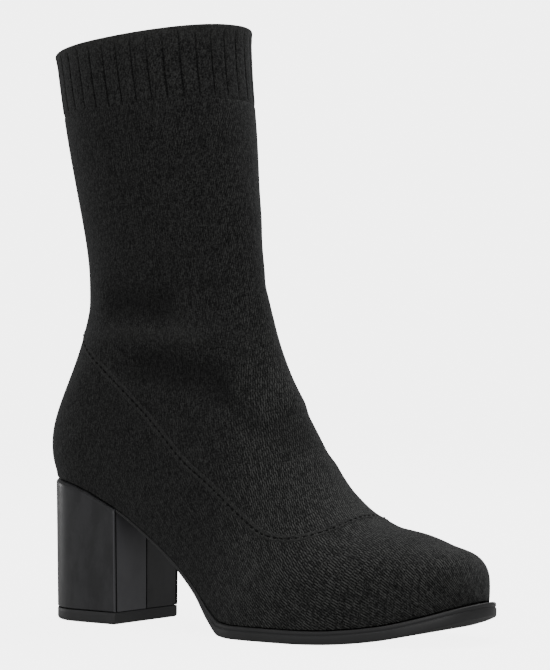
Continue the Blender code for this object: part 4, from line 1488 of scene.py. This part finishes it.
def paper_material(settings):
    """Pale paper that is bright to the camera and lights the boot only a little."""
    material, tree = new_material("pale studio paper", Roughness=1.0, Specular_IOR_Level=0.0,
                                  Emission_Strength=1.0)
    seen = Value(tree, tree.nodes.new("ShaderNodeLightPath").outputs["Is Camera Ray"])
    dim = [value * 0.4 for value in settings.paper]
    link_shader(tree, Base_Color=mix_colour(seen, dim, settings.paper),
                Emission_Color=mix_colour(seen, [settings.cast] * 3, [settings.glow] * 3))
    return material


def build_stage(settings):
    """Pale floor and backdrop, soft lights and the camera."""
    azimuth, elevation = settings.azimuth, settings.elevation
    target = Vector(settings.target)
    level = math.cos(elevation)
    back = Vector((math.sin(azimuth) * level, -math.cos(azimuth) * level, math.sin(elevation)))
    side = Vector((math.cos(azimuth), math.sin(azimuth), 0.0))
    material = paper_material(settings)
    flat, bend, height, steps = 4.0, 2.0, 6.0, 96
    rings = [(0.35, 0.0), (1.2, 0.0), (flat, 0.0)]
    rings += [(flat + bend * math.sin(a), bend - bend * math.cos(a))
              for a in np.linspace(0.1, math.pi / 2, 12)]
    rings.append((flat + bend, height))
    vertices, faces = [(0.0, 0.0, 0.0)], []
    turns = [2 * math.pi * k / steps for k in range(steps)]
    for radius, z in rings:
        vertices += [(radius * math.cos(a), radius * math.sin(a), z) for a in turns]
    for k in range(steps):
        faces.append((0, 1 + k, 1 + (k + 1) % steps))
        for i in range(len(rings) - 1):
            a, b = 1 + i * steps + k, 1 + i * steps + (k + 1) % steps
            faces.append((a, a + steps, b + steps, b))
    mesh = bpy.data.meshes.new("studio_paper")
    mesh.from_pydata(vertices, [], faces)
    mesh.materials.append(material)
    mesh.shade_smooth()
    floor = bpy.data.objects.new("studio_paper", mesh)
    bpy.context.scene.collection.objects.link(floor)

    def soft_light(name, place, aim, size, power):
        data = bpy.data.lights.new(name, "AREA")
        data.shape = "RECTANGLE"
        data.size, data.size_y = size
        data.energy = power
        light = bpy.data.objects.new(name, data)
        light.location = place
        light.rotation_euler = (Vector(aim) - Vector(place)).to_track_quat("-Z", "Y").to_euler()
        bpy.context.scene.collection.objects.link(light)

    up = Vector((0.0, 0.0, 1.0))
    heel = Vector((0.0, 0.0, HEEL_HEIGHT / 2))
    soft_light("key", target + back * 1.3 + side * 0.35 + up * 0.45, target, (0.9, 0.9), settings.key)
    soft_light("fill", target + back * 1.2 - side * 1.5 + up * 0.5, target, (1.4, 1.6), settings.fill)
    soft_light("edge", target - back * 0.9 + side * 0.7 + up * 1.6, target, (0.8, 1.6), settings.edge)
    soft_light("rim", target - back * 0.95 - side * 1.25 - up * 0.06, heel, (0.30, 0.45), settings.rim)
    soft_light("top", target + up * 1.8 + back * 0.2, target, (1.6, 1.6), settings.top)
    world = bpy.data.worlds.new("studio")
    world.use_nodes = True
    sky = world.node_tree.nodes["Background"]
    sky.inputs["Color"].default_value = (1.0, 1.0, 1.0, 1.0)
    sky.inputs["Strength"].default_value = settings.ambient
    bpy.context.scene.world = world
    data = bpy.data.cameras.new("camera")
    data.lens = settings.lens
    data.sensor_width = 36.0
    data.clip_end = 50.0
    camera = bpy.data.objects.new("camera", data)
    camera.location = target + back * settings.distance
    camera.rotation_euler = (-back).to_track_quat("-Z", "Y").to_euler()
    bpy.context.scene.collection.objects.link(camera)
    bpy.context.scene.camera = camera


# Settings


def fraction(name, description, default):
    """A share from 0 to 1."""
    return bpy.props.FloatProperty(name=name, description=description, default=default, min=0.0,
                                   max=1.0, subtype="FACTOR")


def metres(name, description, default):
    """A length property in metres."""
    return bpy.props.FloatProperty(name=name, description=description, default=default, min=0.0,
                                   precision=5, subtype="DISTANCE", unit="LENGTH")


def tint(name, description, default):
    """A colour property."""
    return bpy.props.FloatVectorProperty(name=name, description=description, default=default, size=3,
                                         min=0.0, max=1.0, subtype="COLOR")


def amount(name, description, default, unit="NONE"):
    """A number property that starts at 0."""
    return bpy.props.FloatProperty(name=name, description=description, default=default, min=0.0,
                                   unit=unit)


def part(name, description, kind):
    """The settings of one part of the boot."""
    return bpy.props.PointerProperty(name=name, description=description, type=kind)


class KnitSettings(bpy.types.PropertyGroup):
    """Sizes and colours of the knit."""
    wale_pitch: metres("Wale Pitch", "Width of one column of loops", 0.00128)
    stroke_pitch: metres("Stroke Pitch", "Distance between the slanting lines of loops", 0.00120)
    fold_depth: amount("Fold Depth", "Strength of the soft folds", 1.0)
    # Strength of the painted light at the cuff's rim
    rim_light_tone: fraction("Rim Light Tone", "How much paler the yarn is at the cuff's rim", 0.20)
    # Strengths of the painted highlight on fold ridges and of the painted shade in fold troughs
    ridge_highlight_tone: fraction("Ridge Tone", "How much paler the yarn is on a ridge", 0.16)
    trough_shade_tone: fraction("Trough Tone", "How much darker the yarn is in a trough", 0.42)
    sheen: fraction("Sheen", "Pale bloom of the yarn at a grazing angle", 0.12)
    loop_contrast: amount("Loop Contrast", "How clearly the loops show on the toe", 1.0)
    side_clarity: fraction("Side Clarity", "How clearly they show on the sides, as a share of the toe", 0.24)
    yarn_dark: tint("Dark Yarn", "Colour of the dark specks", (0.0018, 0.0018, 0.0018))
    yarn_light: tint("Light Yarn", "Colour of the pale specks", (0.0302, 0.0305, 0.0297))
    # Colours of the painted highlight on raised loops, fold ridges and the cuff's rim, and of the painted
    # shade between loops and in fold troughs
    yarn_highlight: tint("Bright Yarn", "Colour of the raised loops on the toe", (0.086, 0.087, 0.083))
    yarn_gap_shade: tint("Loop Gaps", "Colour between the loops", (0.0022, 0.0022, 0.0022))


class CuffSettings(bpy.types.PropertyGroup):
    """Sizes of the ribbed cuff."""
    ribs: bpy.props.IntProperty(name="Ribs", description="Even number of ribs round the cuff",
                                default=36, min=4, step=2)
    rib_pitch: metres("Rib Pitch", "Width of one rib", 0.0080)
    groove_depth: metres("Groove Depth", "Depth of the grooves between the ribs", 0.0006)
    groove_width: metres("Groove Width", "Width of the grooves between the ribs", 0.0010)
    rib_crown: metres("Rib Crown", "How far the middle of a rib stands up", 0.0002)
    hem: metres("Plain Hem", "Height of the plain hem above the ribs", 0.0030)


class SeamSettings(bpy.types.PropertyGroup):
    """Sizes of the foot seam and its stitches."""
    band_width: metres("Band Width", "Width of the lapped seam", 0.0043)
    stitch_pitch: metres("Stitch Pitch", "Distance from stitch to stitch", 0.0036)
    stitch_length: metres("Stitch Length", "Length of one stitch", 0.0014)
    thread: metres("Thread", "Thickness of the thread", 0.0011)
    stitch_height: metres("Stitch Height", "Height of the stitches over the knit", 0.00005)


class SoleSettings(bpy.types.PropertyGroup):
    """Sizes and colour of the outsole."""
    tread_pitch: metres("Tread Pitch", "Distance from bar to bar under the forefoot", 0.0036)
    tread_depth: metres("Tread Depth", "Depth of the grooves between the bars", 0.0006)
    rubber: tint("Rubber", "Colour of the sole rubber", (0.0360, 0.0360, 0.0368))
    tread: tint("Tread", "Colour of the tread", (0.007, 0.007, 0.007))


class HeelSettings(bpy.types.PropertyGroup):
    """Sizes and colours of the heel and its top lift."""
    corner: metres("Breast Corner", "Radius of the heel's breast corners", 0.0007)
    seam_width: metres("Seam Width", "Width of the sunk cover seams", 0.0010)
    seam_depth: metres("Seam Depth", "Depth of the sunk cover seams", 0.0011)
    lift_corner: metres("Lift Corner", "Radius of the lift's breast corners", 0.0012)
    lift_round: metres("Lift Round", "Radius of the lift's ground edge", 0.0017)
    cover_colour: tint("Cover", "Colour of the heel cover", (0.0255, 0.0255, 0.0274))
    lift_colour: tint("Lift", "Colour of the top lift", (0.0480, 0.0480, 0.0490))
    # Colour of the painted shade inside the cover seams
    seam_shade_colour: tint("Cover Seams", "Colour inside the cover seams", (0.0015, 0.0015, 0.0015))


class StageSettings(bpy.types.PropertyGroup):
    """View, paper and lights."""
    azimuth: bpy.props.FloatProperty(name="Azimuth", description="Camera's turn round the boot",
                                     default=math.radians(35.2), subtype="ANGLE", unit="ROTATION")
    elevation: bpy.props.FloatProperty(name="Elevation", description="Camera's height angle",
                                       default=math.radians(-1.0), subtype="ANGLE", unit="ROTATION")
    distance: metres("Distance", "Camera's distance from its target", 1.1)
    lens: amount("Lens", "Focal length in millimetres", 126.16, "CAMERA")
    target: bpy.props.FloatVectorProperty(name="Target", description="Place that the camera looks at",
                                          default=(0.1003, 0.0, 0.1381), size=3, subtype="TRANSLATION")
    paper: tint("Paper", "Colour of the floor and backdrop", (0.75, 0.75, 0.75))
    glow: amount("Glow", "Brightness of the paper as the camera sees it", 4.8)
    cast: amount("Cast", "Light that the paper casts on the boot", 0.17)
    key: amount("Key", "Power of the key light in watts", 3.8, "POWER")
    fill: amount("Fill", "Power of the fill light in watts", 3.2, "POWER")
    edge: amount("Edge", "Power of the edge light in watts", 9.0, "POWER")
    top: amount("Top", "Power of the top light in watts", 13.5, "POWER")
    rim: amount("Rim", "Power of the light on the heel's back edge in watts", 1.9, "POWER")
    ambient: amount("Ambient", "Strength of the light from all round", 0.15)


class BootSettings(bpy.types.PropertyGroup):
    """All the settings of the boot."""
    knit: part("Knit", "Sizes and colours of the knit", KnitSettings)
    cuff: part("Cuff", "Sizes of the ribbed cuff", CuffSettings)
    seam: part("Seam", "Sizes of the foot seam and its stitches", SeamSettings)
    sole: part("Sole", "Sizes and colours of the outsole", SoleSettings)
    heel: part("Heel", "Sizes and colours of the heel and its top lift", HeelSettings)
    stage: part("Stage", "View, paper and lights", StageSettings)


# Operators


class BOOT_OT_stage(bpy.types.Operator):
    """Set up the pale floor, the soft lights and the camera"""
    bl_idname = "boot.stage"
    bl_label = "Stage"

    def execute(self, context):
        build_stage(context.scene.sock_boot.stage)
        return {"FINISHED"}


class BOOT_OT_upper(bpy.types.Operator):
    """Build the knit foot and shaft"""
    bl_idname = "boot.upper"
    bl_label = "Knit Upper"

    def execute(self, context):
        build_upper(context.scene.sock_boot.knit)
        return {"FINISHED"}


class BOOT_OT_cuff(bpy.types.Operator):
    """Build the ribbed cuff with its folded hem"""
    bl_idname = "boot.cuff"
    bl_label = "Ribbed Cuff"

    def execute(self, context):
        build_cuff(context.scene.sock_boot.cuff, context.scene.sock_boot.knit)
        return {"FINISHED"}


class BOOT_OT_seam(bpy.types.Operator):
    """Build the foot seam and its stitches"""
    bl_idname = "boot.seam"
    bl_label = "Foot Seam"

    def execute(self, context):
        build_seam(context.scene.sock_boot.seam, context.scene.sock_boot.knit)
        build_stitches(context.scene.sock_boot.seam, context.scene.sock_boot.knit)
        return {"FINISHED"}


class BOOT_OT_outsole(bpy.types.Operator):
    """Build the rubber outsole"""
    bl_idname = "boot.outsole"
    bl_label = "Outsole"

    def execute(self, context):
        build_outsole(context.scene.sock_boot.sole)
        return {"FINISHED"}


class BOOT_OT_insole(bpy.types.Operator):
    """Finish the footbed with its textile"""
    bl_idname = "boot.insole"
    bl_label = "Footbed"

    def execute(self, context):
        finish_insole()
        return {"FINISHED"}


class BOOT_OT_heel(bpy.types.Operator):
    """Build the covered heel block and its top lift"""
    bl_idname = "boot.heel"
    bl_label = "Heel and Lift"

    def execute(self, context):
        build_heel(context.scene.sock_boot.heel)
        build_lift(context.scene.sock_boot.heel)
        return {"FINISHED"}


class BOOT_PT_panel(bpy.types.Panel):
    """Settings and build steps of the boot"""
    bl_idname = "BOOT_PT_panel"
    bl_label = "Sock Boot"
    bl_space_type = "VIEW_3D"
    bl_region_type = "UI"
    bl_category = "Sock Boot"

    def draw(self, context):
        settings = context.scene.sock_boot
        for name, step in PANEL_STEPS:
            box = self.layout.box()
            if name is not None:
                group = getattr(settings, name)
                for label in type(group).__annotations__:
                    box.prop(group, label)
            box.operator(step.bl_idname)


PANEL_STEPS = (
    ("stage", BOOT_OT_stage), ("knit", BOOT_OT_upper), ("cuff", BOOT_OT_cuff), ("seam", BOOT_OT_seam),
    ("sole", BOOT_OT_outsole), (None, BOOT_OT_insole), ("heel", BOOT_OT_heel),
)
CLASSES = (
    KnitSettings, CuffSettings, SeamSettings, SoleSettings, HeelSettings, StageSettings, BootSettings,
    BOOT_OT_stage, BOOT_OT_upper, BOOT_OT_cuff, BOOT_OT_seam, BOOT_OT_outsole, BOOT_OT_insole,
    BOOT_OT_heel, BOOT_PT_panel,
)


def register():
    """Register the classes and the scene's settings."""
    for item in CLASSES:
        bpy.utils.register_class(item)
    bpy.types.Scene.sock_boot = part("Sock Boot", "All the settings of the boot", BootSettings)


def unregister():
    """Remove the settings and the classes."""
    del bpy.types.Scene.sock_boot
    for item in reversed(CLASSES):
        bpy.utils.unregister_class(item)


def main():
    """Build every piece in order."""
    register()
    bpy.ops.boot.stage()
    bpy.ops.boot.upper()
    bpy.ops.boot.cuff()
    bpy.ops.boot.seam()
    bpy.ops.boot.outsole()
    bpy.ops.boot.insole()
    bpy.ops.boot.heel()


if __name__ == "__main__":
    main()
